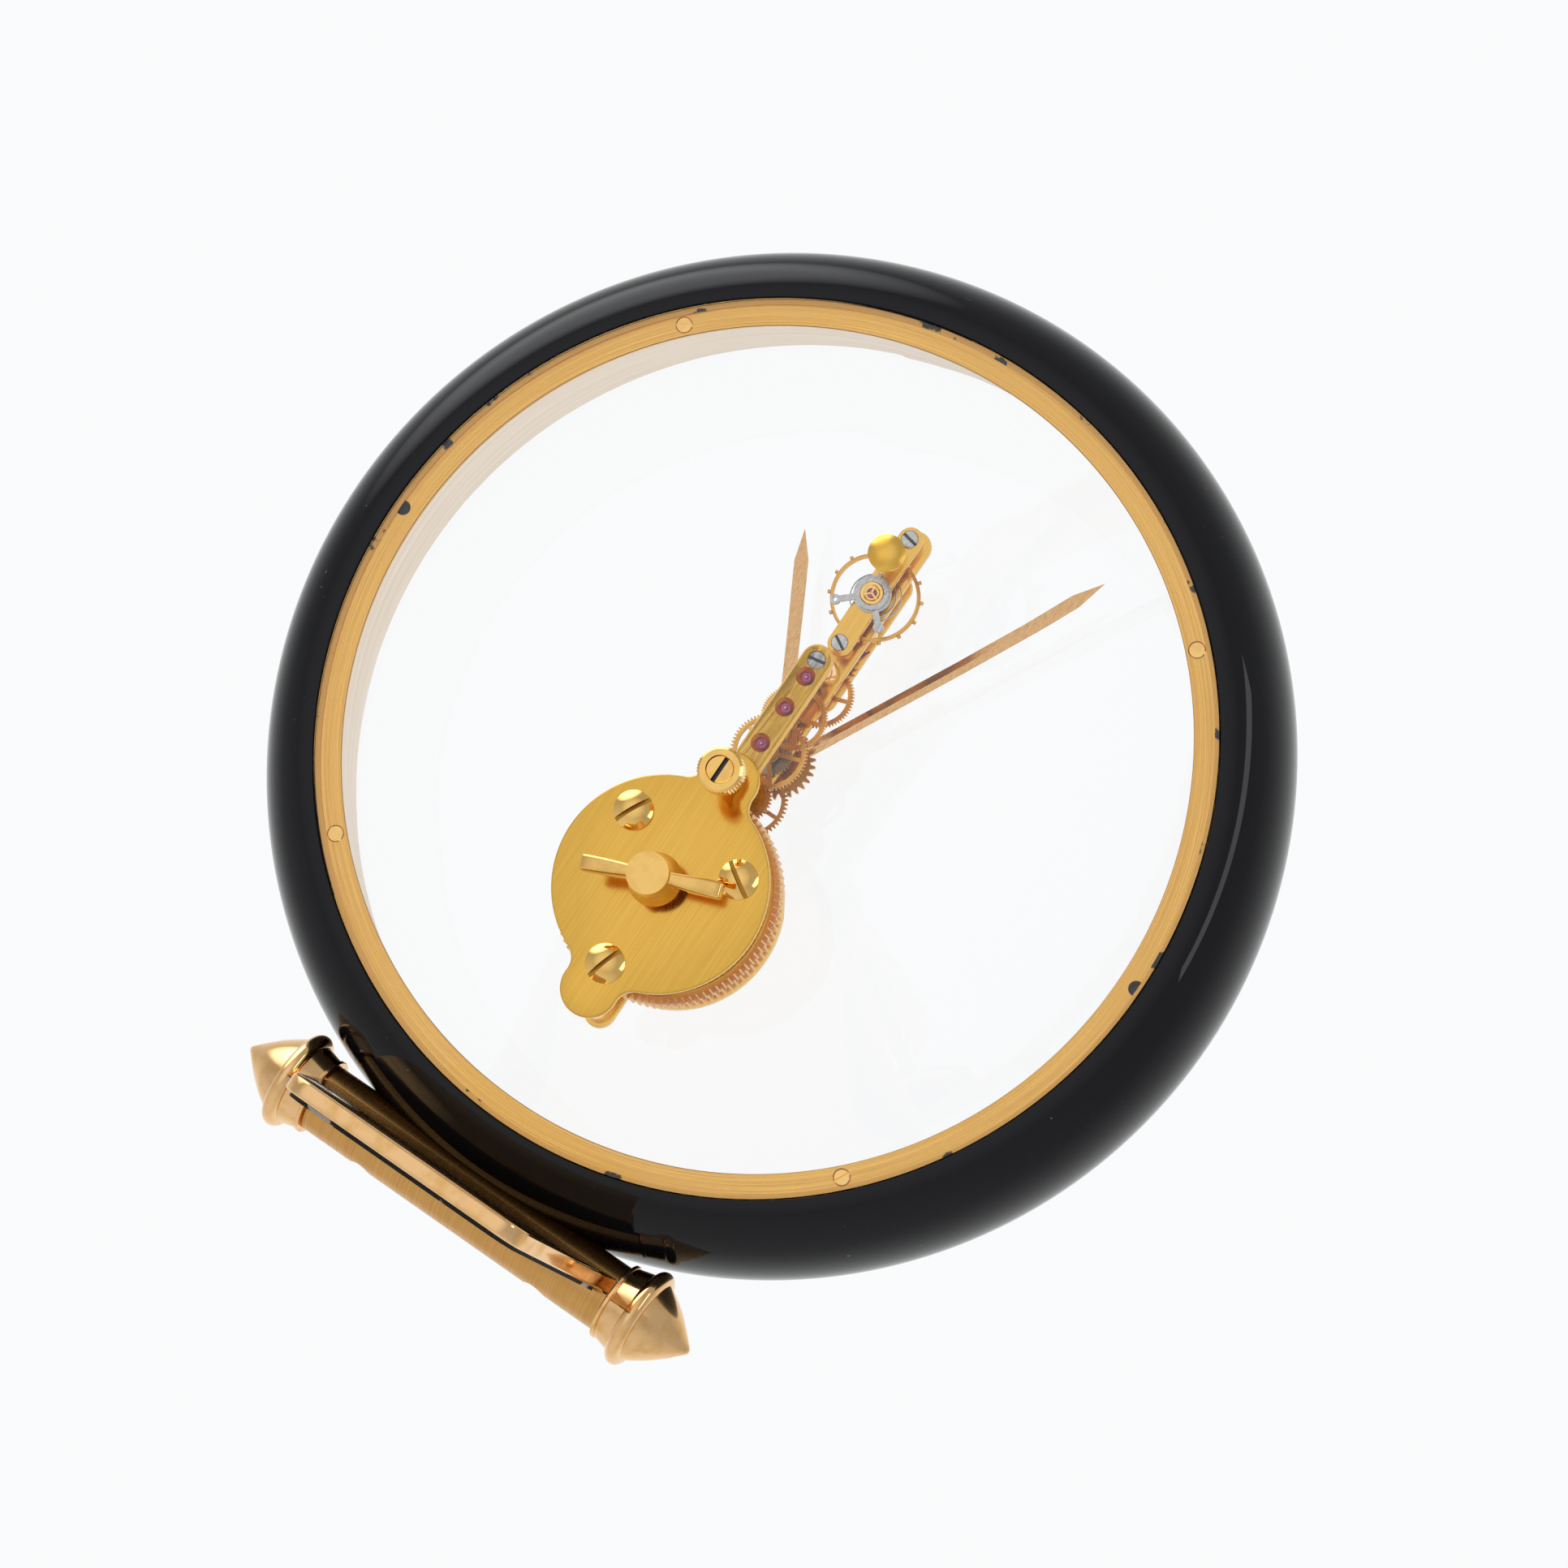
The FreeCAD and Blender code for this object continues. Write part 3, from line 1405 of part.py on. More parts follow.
def make_pallet_stones():
    rear_y = escape_wheel_rear_y
    front_y = rear_y - escape_wheel_thickness
    return Part.makeCompound([stone(side, rear_y, front_y) for side in (-1, 1)])


def make_pallet_fork():
    rear_y = escape_wheel_rear_y
    front_y = rear_y - escape_wheel_thickness
    shaft = arbor(
        pallet_z, train_arbor_radius, main_plate_rear_y - pivot_depth, main_plate_front_y,
        front_bridge_rear_y, front_bridge_front_y)
    tip = stone_place(1)
    lean = math.radians(stone_lean_degrees)
    grip = stone_length * stone_grip_share
    arm_z = tip.z + grip * math.cos(lean)
    # the arms end inside the stones' outline, so each stone lies against its arm's end
    end_x = tip.x + stone_width / 2 + grip * math.sin(lean)
    anchor = prism([
        (-end_x, arm_z - anchor_width / 2), (0.0, pallet_z - anchor_width / 2),
        (end_x, arm_z - anchor_width / 2), (end_x, arm_z + anchor_width / 2),
        (0.0, pallet_z + anchor_width), (-end_x, arm_z + anchor_width / 2)],
        rear_y, front_y)
    end_z = balance_z - staff_front_radius - fork_end_gap
    neck = fork_width * fork_neck_share
    lever = prism([
        (-fork_width / 2, pallet_z), (fork_width / 2, pallet_z),
        (neck, end_z - fork_slot_depth), (fork_horn_half_width, end_z - fork_slot_depth / 2),
        (fork_horn_half_width, end_z), (fork_slot_half_width, end_z),
        (fork_slot_half_width, end_z - fork_slot_depth / 2),
        (-fork_slot_half_width, end_z - fork_slot_depth / 2),
        (-fork_slot_half_width, end_z), (-fork_horn_half_width, end_z),
        (-fork_horn_half_width, end_z - fork_slot_depth / 2), (-neck, end_z - fork_slot_depth)],
        rear_y, front_y)
    fork = fused(shaft, anchor, lever)
    for side in (-1, 1):
        fork = fork.cut(stone(side, rear_y + overrun, front_y - overrun))
    return fork


def make_balance_staff():
    roller_front_y = escape_wheel_rear_y + roller_gap
    roller_rear_y = roller_front_y + roller_thickness
    collet_rear_y = hairspring_rear_y
    staff = stepped([
        (pivot_radius, cock_rear_y - fit_gap, cock_front_y),
        (staff_radius, cock_front_y - running_gap, roller_rear_y),
        (roller_radius, roller_rear_y, roller_front_y),
        (staff_front_radius, roller_front_y, front_bridge_rear_y + running_gap),
        (pivot_radius, front_bridge_rear_y + running_gap, front_bridge_front_y)], balance_z)
    collet = cylinder(
        hairspring_inner_radius, collet_rear_y, collet_rear_y - hairspring_height, 0, balance_z)
    pin_z = balance_z - roller_pin_circle
    pin = cylinder(roller_pin_radius, roller_rear_y, escape_wheel_rear_y + roller_pin_gap, 0, pin_z)
    return fused(staff, collet, pin)


def make_balance_wheel():
    rear_y = balance_rim_rear_y
    front_y = rear_y - balance_rim_height
    rim = tube(balance_radius, balance_radius - balance_rim_width, rear_y, front_y, 0, balance_z)
    arm_rear_y = rear_y - (balance_rim_height - balance_arm_thickness) / 2
    reach = balance_radius - balance_rim_width / 2
    arm = Part.makeBox(
        balance_arm_width, balance_arm_thickness, 2 * reach,
        Vector(-balance_arm_width / 2, arm_rear_y - balance_arm_thickness, balance_z - reach))
    hub = cylinder(balance_hub_radius, arm_rear_y, arm_rear_y - balance_arm_thickness, 0, balance_z)
    screws = []
    step = full_turn / timing_screw_count
    for index in range(timing_screw_count):
        angle = step / 2 + index * step
        start = polar(reach, angle, (rear_y + front_y) / 2, 0, balance_z)
        length = balance_radius + timing_screw_reach - reach
        screw = cylinder(timing_screw_radius, length, 0.0)
        screw.rotate(Vector(0, 0, 0), Vector(1, 0, 0), 90)
        screw.rotate(Vector(0, 0, 0), y_axis, math.degrees(angle))
        screw.translate(start)
        screws.append(screw)
    piece = fused(rim, arm, hub, *screws)
    return piece.cut(bore(staff_radius + fit_gap, rear_y + overrun, front_y - overrun, 0, balance_z))


def make_hairspring():
    front_y = hairspring_rear_y - hairspring_height
    inner = hairspring_inner_radius + hairspring_thickness / 2 + fit_gap
    strip = spiral(
        inner, hairspring_outer_radius, hairspring_turns, hairspring_thickness,
        hairspring_rear_y, front_y, balance_z)
    gap = (hairspring_outer_radius - inner) / hairspring_turns - hairspring_thickness
    print("least gap between the hairspring's turns, mm:", round(gap, 3))
    return strip


# Setting, motion work and hands

def make_set_arbor():
    end_y = minute_leaf_rear_y - minute_leaf_length
    top_y = knob_rear_y - knob_screw_recess - knob_screw_height - fit_gap
    shaft = cylinder(set_arbor_radius, top_y, end_y, 0, set_z)
    module = module_of(centre_z - set_z, minute_leaves, hour_wheel_teeth)
    pinion = toothed(minute_leaves, module, 0, True, minute_leaf_rear_y, end_y, set_z)
    piece = fused(shaft, pinion)
    depth = knob_screw_shank_length + fit_gap
    return piece.cut(bore(knob_screw_shank_radius + fit_gap, top_y + overrun, top_y - depth, 0, set_z))


def make_set_knob():
    grip = cylinder(knob_radius, knob_rear_y, knob_front_y, 0, set_z)
    stem = cylinder(knob_stem_radius, knob_front_y, outer_plate_rear_y + knob_stem_gap, 0, set_z)
    recess_y = knob_rear_y - knob_screw_recess - knob_screw_height
    knob = fused(grip, stem)
    knob = knob.cut(bore(knob_screw_radius + fit_gap, knob_rear_y + overrun, recess_y, 0, set_z))
    return knob.cut(bore(set_arbor_radius + fit_gap, knob_rear_y, outer_plate_rear_y, 0, set_z))


def make_set_knob_screw():
    seat_y = knob_rear_y - knob_screw_recess - knob_screw_height
    return flat_screw(
        knob_screw_radius, knob_screw_height, knob_screw_shank_radius, knob_screw_shank_length,
        seat_y, knob_slot_degrees, 0, set_z)


def motion_module():
    return module_of(centre_z - set_z, cannon_leaves, minute_wheel_teeth)


def make_minute_wheel():
    return wheel(
        minute_wheel_teeth, motion_module(), minute_wheel_rear_y, set_z,
        set_arbor_radius + fit_gap, motion_spokes)


def make_cannon_pinion():
    end_y = minute_hand_rear_y - hand_thickness
    pipe = cylinder(cannon_pipe_radius, cannon_leaf_rear_y, end_y, 0, centre_z)
    front_y = cannon_leaf_rear_y - cannon_leaf_length
    phase = math.pi + math.pi / cannon_leaves
    leaves = toothed(
        cannon_leaves, motion_module(), phase, True, cannon_leaf_rear_y, front_y, centre_z)
    piece = fused(pipe, leaves)
    return drilled(piece, [(centre_front_radius + fit_gap, 0, centre_z)], cannon_leaf_rear_y, end_y)


def make_hour_wheel():
    module = module_of(centre_z - set_z, minute_leaves, hour_wheel_teeth)
    end_y = hour_hand_rear_y - hand_thickness
    pipe = cylinder(hour_pipe_radius, hour_pipe_rear_y, end_y, 0, centre_z)
    front_y = hour_wheel_rear_y - hour_wheel_thickness
    phase = math.pi + math.pi / hour_wheel_teeth
    ring = toothed(hour_wheel_teeth, module, phase, False, hour_wheel_rear_y, front_y, centre_z)
    hole = bore(cannon_pipe_radius + running_gap, hour_pipe_rear_y + overrun, end_y - overrun, 0, centre_z)
    return fused(pipe, ring).cut(hole)


def hand(length, width, hub, hole, rear_y, degrees):
    # a pointed baton with a ridge along both faces, and a round eye on its pipe
    middle_y = rear_y - hand_thickness / 2
    rise = hand_thickness / 2
    start = hub * math.cos(math.asin(width / 2 / hub))
    shoulder = length - hand_point_length
    low = Vector(-width / 2, 0, start)
    high = Vector(width / 2, 0, start)
    low_shoulder = Vector(-width / 2, 0, shoulder)
    high_shoulder = Vector(width / 2, 0, shoulder)
    tip = Vector(0, 0, length)
    faces = []
    for side in (-1, 1):
        ridge_start = Vector(0, side * rise, start)
        ridge_end = Vector(0, side * rise, shoulder)
        outlines = [
            [low, low_shoulder, ridge_end, ridge_start],
            [high, high_shoulder, ridge_end, ridge_start],
            [low_shoulder, tip, ridge_end],
            [high_shoulder, tip, ridge_end],
        ]
        faces += [Part.Face(Part.makePolygon(outline + outline[:1])) for outline in outlines]
    foot = [low, Vector(0, rise, start), high, Vector(0, -rise, start)]
    faces.append(Part.Face(Part.makePolygon(foot + foot[:1])))
    baton = closed(faces)
    eye = cylinder(hub, rise, -rise)
    piece = fused(baton, eye).cut(bore(hole, rise + overrun, -rise - overrun))
    piece.rotate(Vector(0, 0, 0), y_axis, degrees)
    piece.translate(Vector(0, middle_y, centre_z))
    return piece


def make_hour_hand():
    return hand(
        hour_hand_length, hour_hand_width, hour_hand_hub_radius, hour_pipe_radius + fit_gap,
        hour_hand_rear_y, hour_hand_degrees)


def make_minute_hand():
    return hand(
        minute_hand_length, minute_hand_width, minute_hand_hub_radius, cannon_pipe_radius + fit_gap,
        minute_hand_rear_y, minute_hand_degrees)


# Standing: the two beads and the felt's rear lower edge touch the floor

def lean_angle():
    along = felt_rear_y - rod_axis_y
    drop = felt_low_z - rod_axis_z
    return math.asin(bead_radius / math.hypot(along, drop)) + math.atan2(drop, along)


def leaned(place):
    angle = lean_angle()
    y = place.y * math.cos(angle) + place.z * math.sin(angle)
    z = place.z * math.cos(angle) - place.y * math.sin(angle)
    return Vector(place.x, y, z)


def floor_z():
    return leaned(Vector(0, rod_axis_y, rod_axis_z)).z - bead_radius


def middle_y():
    # halfway between the foot's rear corner and the ring's front lip, as they stand after leaning
    rear = leaned(Vector(0, foot_rear_y, foot_top_z)).y
    angle = lean_angle()
    across = ring_outer_radius - ring_seat_radius - ring_lip_width
    along = ring_depth / 2
    reach = math.hypot(along * math.cos(angle), across * math.sin(angle))
    hub_z = -(ring_seat_radius + ring_lip_width)
    front = leaned(Vector(0, ring_mid_y, hub_z)).y - reach
    return (rear + front) / 2


def standing():
    rotation = Rotation(Vector(1, 0, 0), -math.degrees(lean_angle()))
    return Placement(Vector(0, -middle_y(), -floor_z()), rotation)


def in_row(x, y, z):
    # a place of the upright clock, as it stands
    return standing().multVec(Vector(x, y, z))


makers = {
    "ring_shell_rear": make_ring_shell_rear,
    "ring_shell_front": lambda: to_front(ring_half()),
    "inner_band": make_inner_band,
    "rear_flange": make_rear_flange,
    "flange_screws": make_flange_screws,
    "rear_seal": make_seal,
    "front_seal": lambda: to_front(make_seal()),
    "rear_crystal": make_rear_crystal,
    "front_crystal": make_front_crystal,
    "base_rod": make_base_rod,
    "finial_left": lambda: make_finial(-1),
    "finial_right": lambda: make_finial(1),
    "foot_plate": make_foot_plate,
    "foot_felt": make_foot_felt,
    "base_screws": make_base_screws,
    "outer_plate": make_outer_plate,
    "plate_screws": make_plate_screws,
    "rear_plate": make_rear_plate,
    "main_plate": make_main_plate,
    "pillars": make_pillars,
    "steel_screws": make_steel_screws,
    "balance_cock": make_balance_cock,
    "front_bridge": make_front_bridge,
    "train_jewels": make_train_jewels,
    "stud_carrier": make_stud_carrier,
    "regulator": make_regulator,
    "shock_setting": make_shock_setting,
    "end_stone": make_end_stone,
    "glass_button": make_glass_button,
    "click_spring": make_click_spring,
    "click_screw": make_click_screw,
    "barrel_drum": make_barrel_drum,
    "barrel_cover": make_barrel_cover,
    "mainspring": make_mainspring,
    "barrel_arbor": make_barrel_arbor,
    "ratchet_wheel": make_ratchet_wheel,
    "winding_key": make_winding_key,
    "click": make_click,
    "intermediate_wheel": make_intermediate_wheel,
    "centre_arbor": make_centre_arbor,
    "centre_wheel": make_centre_wheel,
    "cannon_pinion": make_cannon_pinion,
    "minute_hand": make_minute_hand,
    "third_arbor": make_third_arbor,
    "third_wheel": make_third_wheel,
    "fourth_arbor": make_fourth_arbor,
    "fourth_wheel": make_fourth_wheel,
    "escape_arbor": make_escape_arbor,
    "escape_wheel": make_escape_wheel,
    "pallet_fork": make_pallet_fork,
    "pallet_stones": make_pallet_stones,
    "balance_staff": make_balance_staff,
    "balance_wheel": make_balance_wheel,
    "hairspring": make_hairspring,
    "set_arbor": make_set_arbor,
    "set_knob": make_set_knob,
    "set_knob_screw": make_set_knob_screw,
    "minute_wheel": make_minute_wheel,
    "hour_wheel": make_hour_wheel,
    "hour_hand": make_hour_hand,
}

os.makedirs("parts", exist_ok=True)
stand = standing()
for node, make in makers.items():
    shape = make()
    shape.Placement = stand.multiply(shape.Placement)
    shape.exportStep(os.path.join("parts", node + ".step"))
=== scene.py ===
import math
import bpy
from mathutils import Matrix, Vector


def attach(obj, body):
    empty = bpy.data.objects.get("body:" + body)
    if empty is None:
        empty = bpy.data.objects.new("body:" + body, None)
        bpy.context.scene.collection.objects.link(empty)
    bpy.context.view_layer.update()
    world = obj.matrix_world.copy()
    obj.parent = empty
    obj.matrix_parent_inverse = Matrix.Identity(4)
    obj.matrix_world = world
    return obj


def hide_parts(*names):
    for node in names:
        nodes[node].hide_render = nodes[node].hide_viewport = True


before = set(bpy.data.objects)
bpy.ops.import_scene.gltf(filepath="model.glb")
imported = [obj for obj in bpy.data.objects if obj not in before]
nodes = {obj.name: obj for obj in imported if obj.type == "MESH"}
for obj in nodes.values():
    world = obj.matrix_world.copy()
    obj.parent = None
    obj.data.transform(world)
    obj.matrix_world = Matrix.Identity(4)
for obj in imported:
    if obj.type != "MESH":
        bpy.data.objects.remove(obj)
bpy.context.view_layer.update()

print("frame loaded:", len(nodes), "nodes")

# Everything is drawn upright in millimetres: X across, Z up the ring, Y along its axis towards the back.
# The last step of each piece leans it back with the whole clock and turns it into metres.
standing = {"lean": 9.94387, "back": 7.15629, "height": 82.03748}
axes = {"barrel": -24.68, "set": -7.06, "centre": -0.07, "third": 6.05, "fourth": 11.3, "bridgeEnd": 14.1,
        "escape": 16.7, "cockLow": 18.5, "balance": 26.9, "button": 32.2, "cockHigh": 36.35, "lug": -43.8}
levels = {"lip": 2.1, "glassFront": 0.6, "ringMiddle": -12.1, "frontFlange": -24.2}
weld = 0.0004
past = 1.0   # how far a cutting tool reaches past the piece
toRow = (Matrix.Scale(0.001, 4) @ Matrix.Translation((0, standing["back"], standing["height"]))
         @ Matrix.Rotation(-math.radians(standing["lean"]), 4, "X"))


# Modelling

def leaveAll():
    bpy.ops.object.select_all(action="DESELECT")


def take(piece):
    leaveAll()
    piece.select_set(True)
    bpy.context.view_layer.objects.active = piece
    return piece


def settlePlace(piece):
    take(piece)
    bpy.ops.object.transform_apply(location=True, rotation=True, scale=True)
    return piece


def placed(piece, x, z, y=0.0):
    piece.location = (x, y, z)
    return settlePlace(piece)


def editAll():
    bpy.ops.object.mode_set(mode="EDIT")
    bpy.ops.mesh.select_all(action="SELECT")


def editDone():
    bpy.ops.object.mode_set(mode="OBJECT")


def drawnOut(x, y, z):
    bpy.ops.mesh.extrude_region_move(TRANSFORM_OT_translate={"value": (x, y, z)})


def normalsOut():
    bpy.ops.mesh.select_all(action="SELECT")
    bpy.ops.mesh.normals_make_consistent(inside=False)
    editDone()


def chosen(piece, test):
    # the vertices that pass the test, with the edges and faces between them
    vertices = piece.data.vertices
    for vertex in vertices:
        vertex.select = test(vertex)
    for part in (*piece.data.edges, *piece.data.polygons):
        part.select = all(vertices[index].select for index in part.vertices)
    take(piece)
    bpy.ops.object.mode_set(mode="EDIT")


def walked(points):
    # one vertex, extruded from point to point
    leaveAll()
    bpy.ops.mesh.primitive_plane_add(size=1)
    piece = bpy.context.object
    editAll()
    bpy.ops.mesh.merge(type="CENTER")
    bpy.ops.mesh.select_all(action="SELECT")
    places = [Vector(point) for point in points]
    bpy.ops.transform.translate(value=places[0])
    for here, there in zip(places, places[1:]):
        drawnOut(*(there - here))
    editDone()
    return piece


def turned(profile, x=0.0, z=0.0, steps=64):
    # profile is (radius, y) from point to point; a ring's profile ends where it starts
    piece = walked([(radius, y, 0) for radius, y in profile])
    editAll()
    bpy.ops.mesh.spin(steps=steps, angle=2 * math.pi, center=(0, 0, 0), axis=(0, 1, 0))
    bpy.ops.mesh.select_all(action="SELECT")
    bpy.ops.mesh.remove_doubles(threshold=weld)
    normalsOut()
    return placed(piece, x, z)


def ringProfile(outer, inner, rear, front):
    return [(inner, rear), (outer, rear), (outer, front), (inner, front), (inner, rear)]


def post(radius, rear, front, x=0.0, z=0.0, sides=40):
    leaveAll()
    bpy.ops.mesh.primitive_cylinder_add(vertices=sides, radius=radius, depth=rear - front,
                                        location=(x, (rear + front) / 2, z), rotation=(math.pi / 2, 0, 0))
    return settlePlace(bpy.context.object)


def block(low, high):
    leaveAll()
    size = [b - a for a, b in zip(low, high)]
    middle = [(a + b) / 2 for a, b in zip(low, high)]
    bpy.ops.mesh.primitive_cube_add(size=1, location=middle, scale=size)
    return settlePlace(bpy.context.object)


def arc(x, z, radius, start, end, steps):
    # degrees run clockwise from up, seen from the front
    turns = [math.radians(start + (end - start) * step / steps) for step in range(steps + 1)]
    return [(x + radius * math.sin(turn), z + radius * math.cos(turn)) for turn in turns]


def plateFrom(outline, rear, front, edge):
    # a closed outline, filled and extruded, with its edges broken
    places = [(x, front, z) for x, z in outline]
    piece = walked(places + places[:1])
    editAll()
    bpy.ops.mesh.remove_doubles(threshold=weld)
    bpy.ops.mesh.edge_face_add()
    drawnOut(0, rear - front, 0)
    normalsOut()
    return bevelled(piece, edge, 2, 60)


def rotated(piece, degrees, x=0.0, z=0.0):
    # turned about the Y axis through x, z
    centre = Vector((x, 0, z))
    piece.data.transform(Matrix.Translation(centre) @ Matrix.Rotation(math.radians(degrees), 4, "Y")
                         @ Matrix.Translation(-centre))
    return piece


def shaped(piece, tool, operation="DIFFERENCE"):
    take(piece)
    change = piece.modifiers.new("shape", "BOOLEAN")
    change.operation = operation
    change.solver = "EXACT"
    change.object = tool
    bpy.ops.object.modifier_apply(modifier=change.name)
    bpy.data.objects.remove(tool, do_unlink=True)
    return piece


def cut(piece, *tools):
    for tool in tools:
        shaped(piece, tool)
    return piece


def united(piece, *others):
    for other in others:
        shaped(piece, other, "UNION")
    return piece


def joined(piece, *others):
    take(piece)
    for other in others:
        other.select_set(True)
    bpy.ops.object.join()
    return piece


def bevelled(piece, width, segments=2, angle=50):
    take(piece)
    change = piece.modifiers.new("edge", "BEVEL")
    change.width = width
    change.segments = segments
    change.limit_method = "ANGLE"
    change.angle_limit = math.radians(angle)
    bpy.ops.object.modifier_apply(modifier=change.name)
    return piece


def copied(piece):
    twin = piece.copy()
    twin.data = piece.data.copy()
    bpy.context.collection.objects.link(twin)
    return twin


def mirroredAcross(piece, matrix):
    piece.data.transform(matrix)
    take(piece)
    editAll()
    normalsOut()
    return piece


def toFront(piece):
    flip = Matrix.Translation((0, 2 * levels["ringMiddle"], 0)) @ Matrix.Scale(-1, 4, (0, 1, 0))
    return mirroredAcross(piece, flip)


slots = {"reach": 1.3, "inside": 0.88, "flat": 0.02}


def slotBar(radius, top, depth, width, degrees, x=0.0, z=0.0):
    reach = radius * slots["reach"]
    bar = block((-reach, top - depth, -width / 2), (reach, top + past, width / 2))
    return placed(rotated(bar, degrees), x, z)


def secondLook(piece, looks, test):
    # the faces that pass the test take the second material; the screw slots and jewel sinks use it for a darker
    # colour, painted shade
    for look in looks:
        piece.data.materials.append(look)
    for face in piece.data.polygons:
        if test(face.center, face.normal):
            face.material_index = 1


def slotFaces(head, low, high, x=0.0, z=0.0):
    # the floor and the walls of a slot, apart from the head's own rim; they are painted darker, as shade in the slot
    def test(centre, normal):
        near = low < abs(centre.y) < high and math.hypot(centre.x - x, centre.z - z) < head * slots["inside"]
        return near and not slots["flat"] <= abs(normal.y) <= 1 - slots["flat"]
    return test


def finished(piece, name, body, slot, look, *replaced, angle=32):
    piece.name = name
    piece.data.name = name
    take(piece)
    bpy.ops.object.shade_smooth_by_angle(angle=math.radians(angle))
    piece.data.transform(toRow)
    if not isinstance(look, (list, tuple)):
        look = [look]
    while len(piece.data.materials) < len(look):
        piece.data.materials.append(None)
    for index, each in enumerate(look):
        piece.data.materials[index] = each
    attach(piece, body)
    if replaced:
        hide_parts(*replaced)
    return piece


# Shader groups

def newGroup(name, output, **inputs):
    # a vector and some numbers in, one number out
    group = bpy.data.node_groups.new(name, "ShaderNodeTree")
    sockets = group.interface
    sockets.new_socket(name="Vector", in_out="INPUT", socket_type="NodeSocketVector")
    for label, value in inputs.items():
        sockets.new_socket(name=label, in_out="INPUT", socket_type="NodeSocketFloat").default_value = value
    sockets.new_socket(name=output, in_out="OUTPUT", socket_type="NodeSocketFloat")
    return group, group.nodes.new("NodeGroupInput").outputs, group.nodes.new("NodeGroupOutput").inputs[0]


def mathNode(tree, operation, first, second=None, third=None):
    node = tree.nodes.new("ShaderNodeMath")
    node.operation = operation
    for index, value in enumerate((first, second, third)):
        if value is None:
            continue
        if isinstance(value, (int, float)):
            node.inputs[index].default_value = value
        else:
            tree.links.new(value, node.inputs[index])
    return node.outputs[0]


def noiseNode(tree, vector, scale, detail, rough=0.5):
    node = tree.nodes.new("ShaderNodeTexNoise")
    node.inputs["Scale"].default_value = scale
    node.inputs["Detail"].default_value = detail
    node.inputs["Roughness"].default_value = rough
    tree.links.new(vector, node.inputs["Vector"])
    return node.outputs["Fac"]


def times(tree, first, second):
    return mathNode(tree, "MULTIPLY", first, second)


def parted(tree, vector):
    split = tree.nodes.new("ShaderNodeSeparateXYZ")
    tree.links.new(vector, split.inputs[0])
    return [split.outputs[axis] for axis in "XYZ"]


def streaked(tree, values, detail, rough):
    # noise, stretched by its own value along each axis
    join = tree.nodes.new("ShaderNodeCombineXYZ")
    for value, socket in zip(values, join.inputs):
        tree.links.new(value, socket)
    return noiseNode(tree, join.outputs[0], 1.0, detail, rough)


def makeTurnedGrain():
    # rings of fine tool marks round the piece's own axis
    group, given, mark = newGroup("turnedGrain", "Mark", Rings=4000.0, Streak=3.0)
    x, y, z = parted(group, given["Vector"])
    square = mathNode(group, "ADD", times(group, x, x), times(group, z, z))
    radius = mathNode(group, "MAXIMUM", mathNode(group, "SQRT", square), 1e-6)
    values = [times(group, mathNode(group, "DIVIDE", side, radius), given["Streak"]) for side in (x, z)]
    values.append(times(group, mathNode(group, "ADD", radius, y), given["Rings"]))
    group.links.new(streaked(group, values, 4.0, 0.6), mark)
    return group


def makeLineGrain():
    # straight brushing along Z
    group, given, mark = newGroup("lineGrain", "Mark", Across=9000.0, Along=120.0)
    x, y, z = parted(group, given["Vector"])
    values = [times(group, x, given["Across"]), times(group, y, given["Across"]), times(group, z, given["Along"])]
    group.links.new(streaked(group, values, 5.0, 0.65), mark)
    return group


def makeSpots():
    # scattered patches, for dust, wear and cement
    group, given, mask = newGroup("spots", "Mask", Size=300.0, From=0.6, To=0.7)
    noise = group.nodes.new("ShaderNodeTexNoise")
    noise.inputs["Detail"].default_value = 5.0
    reach = group.nodes.new("ShaderNodeMapRange")
    for value, socket in ((given["Vector"], noise.inputs["Vector"]), (given["Size"], noise.inputs["Scale"]),
                          (noise.outputs["Fac"], reach.inputs["Value"]), (given["From"], reach.inputs["From Min"]),
                          (given["To"], reach.inputs["From Max"]), (reach.outputs["Result"], mask)):
        group.links.new(value, socket)
    return group


grains = {"turned": makeTurnedGrain(), "line": makeLineGrain(), "spots": makeSpots()}
print("shader groups made")


# Materials

def newMaterial(name, color, metallic, roughness, **more):
    look = bpy.data.materials.new(name)
    look.use_nodes = True
    shader = look.node_tree.nodes["Principled BSDF"]
    shader.inputs["Base Color"].default_value = (*color, 1)
    shader.inputs["Metallic"].default_value = metallic
    shader.inputs["Roughness"].default_value = roughness
    for label, value in more.items():
        shader.inputs[label.replace("_", " ")].default_value = value
    look.diffuse_color = (*color, 1)
    return look, look.node_tree, shader


def uprightCoordinates(tree, x=0.0, z=0.0):
    # object coordinates in metres, in the leaned frame of the clock, centred on an axis of it
    coordinates = tree.nodes.new("ShaderNodeTexCoord")
    mapping = tree.nodes.new("ShaderNodeMapping")
    mapping.vector_type = "TEXTURE"
    mapping.inputs["Location"].default_value = toRow @ Vector((x, 0, z))
    mapping.inputs["Rotation"].default_value = (-math.radians(standing["lean"]), 0, 0)
    tree.links.new(coordinates.outputs["Object"], mapping.inputs["Vector"])
    return mapping.outputs["Vector"]


def placeGroup(tree, kind, vector, **values):
    node = tree.nodes.new("ShaderNodeGroup")
    node.node_tree = grains[kind]
    tree.links.new(vector, node.inputs["Vector"])
    for label, value in values.items():
        node.inputs[label].default_value = value
    return node.outputs[0]


def blendColors(tree, mask, first, second):
    mix = tree.nodes.new("ShaderNodeMix")
    mix.data_type = "RGBA"
    mix.inputs[6].default_value = (*first, 1)
    mix.inputs[7].default_value = (*second, 1)
    tree.links.new(mask, mix.inputs[0])
    return mix.outputs[2]


